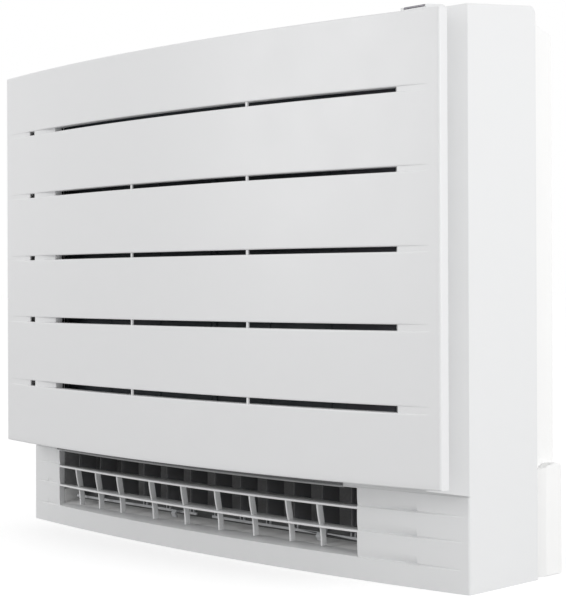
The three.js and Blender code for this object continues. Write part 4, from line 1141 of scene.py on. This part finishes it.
panel_skin = bmesh.new()
panel_shell(panel_skin)
hinge_lugs(panel_skin)
panel_plastic = moulded("white_panel_plastic", (0.80, 0.803, 0.81), 0.3, 0.38, 1100.0, 0.000012, 0.006, 0.01)
front_cover = piece_from(panel_skin, "front_cover", panel_plastic, 32)
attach(front_cover, "panel")
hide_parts("front_panel")

# ---- Studio -------------------------------------------------------------------------------------
# A white floor that runs out of view, a white surround and two large soft lamps, one from the left
# and one from the right. The camera stands a little over floor level, to the right of the front.

def pale_floor():
    made, tree, surface = blank_material("pale_floor")
    surface["Roughness"].default_value = 0.9
    surface["Emission Color"].default_value = (1, 1, 1, 1)
    tone = mapped(tree, noise(tree, object_place(tree), 40.0, 3.0), 0.59, 0.61)
    seen = maths(tree, "MULTIPLY", node(tree, "ShaderNodeLightPath").outputs["Is Camera Ray"], 0.55)
    link_all(tree, surface, Base_Color=grey(tree, tone), Emission_Strength=seen)
    return made


FLOOR_HALF = 30
floor_mesh = bpy.data.meshes.new("floor")
floor_mesh.from_pydata([(x * FLOOR_HALF, y * FLOOR_HALF, 0) for x, y in ((-1, -1), (1, -1), (1, 1), (-1, 1))],
                       [], [(0, 1, 2, 3)])
floor = placed("floor", floor_mesh)
floor_mesh.materials.append(pale_floor())

world = bpy.data.worlds.new("white_surround")
bpy.context.scene.world = world
world.use_nodes = True
sky = world.node_tree
surround = sky.nodes["Background"].inputs
surround["Color"].default_value = (1, 1, 1, 1)
rays = node(sky, "ShaderNodeLightPath").outputs
direct = maths(sky, "MAXIMUM", rays["Is Camera Ray"], rays["Is Glossy Ray"])
direct = maths(sky, "MAXIMUM", direct, rays["Is Transmission Ray"])
sky.links.new(mapped(sky, direct, 0.67, 1.0), surround["Strength"])


def soft_lamp(name, place, aim, size, watts):
    lamp = bpy.data.lights.new(name, "AREA")
    lamp.shape = "RECTANGLE"
    lamp.size, lamp.size_y = size
    lamp.energy = watts
    holder = placed(name, lamp)
    holder.location = place
    holder.rotation_euler = (Vector(aim) - Vector(place)).to_track_quat("-Z", "Y").to_euler()


soft_lamp("left_lamp", (-2.1, -4.0, 1.5), (0, 0, 0.3), (2.4, 2.4), 57)
soft_lamp("right_lamp", (3.4, 0.2, 1.0), (0.3, 0, 0.3), (2.2, 2.2), 51)

YAW, PITCH, ROLL = (math.radians(a) for a in (44.40, 0.147, -0.233))
FOCAL, PRINCIPAL, PICTURE = 1539.67, (340.03, 279.56), (566, 600)
CAMERA_PLACE = (1.3553, -1.2259, 0.3111)
FILM = 36
ahead = Vector((-math.sin(YAW) * math.cos(PITCH), math.cos(YAW) * math.cos(PITCH), math.sin(PITCH)))
level_right = Vector((math.cos(YAW), math.sin(YAW), 0))
level_up = level_right.cross(ahead)
right = math.cos(ROLL) * level_right + math.sin(ROLL) * level_up
up = -math.sin(ROLL) * level_right + math.cos(ROLL) * level_up
lens = bpy.data.cameras.new("camera")
lens.sensor_fit = "VERTICAL"
lens.sensor_height = FILM
lens.lens = FOCAL * FILM / PICTURE[1]
lens.shift_x = (PICTURE[0] / 2 - PRINCIPAL[0]) / PICTURE[1]
lens.shift_y = (PRINCIPAL[1] - PICTURE[1] / 2) / PICTURE[1]
camera = placed("camera", lens)
camera.matrix_world = Matrix.Translation(CAMERA_PLACE) @ Matrix((right, up, -ahead)).transposed().to_4x4()
bpy.context.scene.camera = camera
bpy.context.scene.view_settings.view_transform = "Standard"
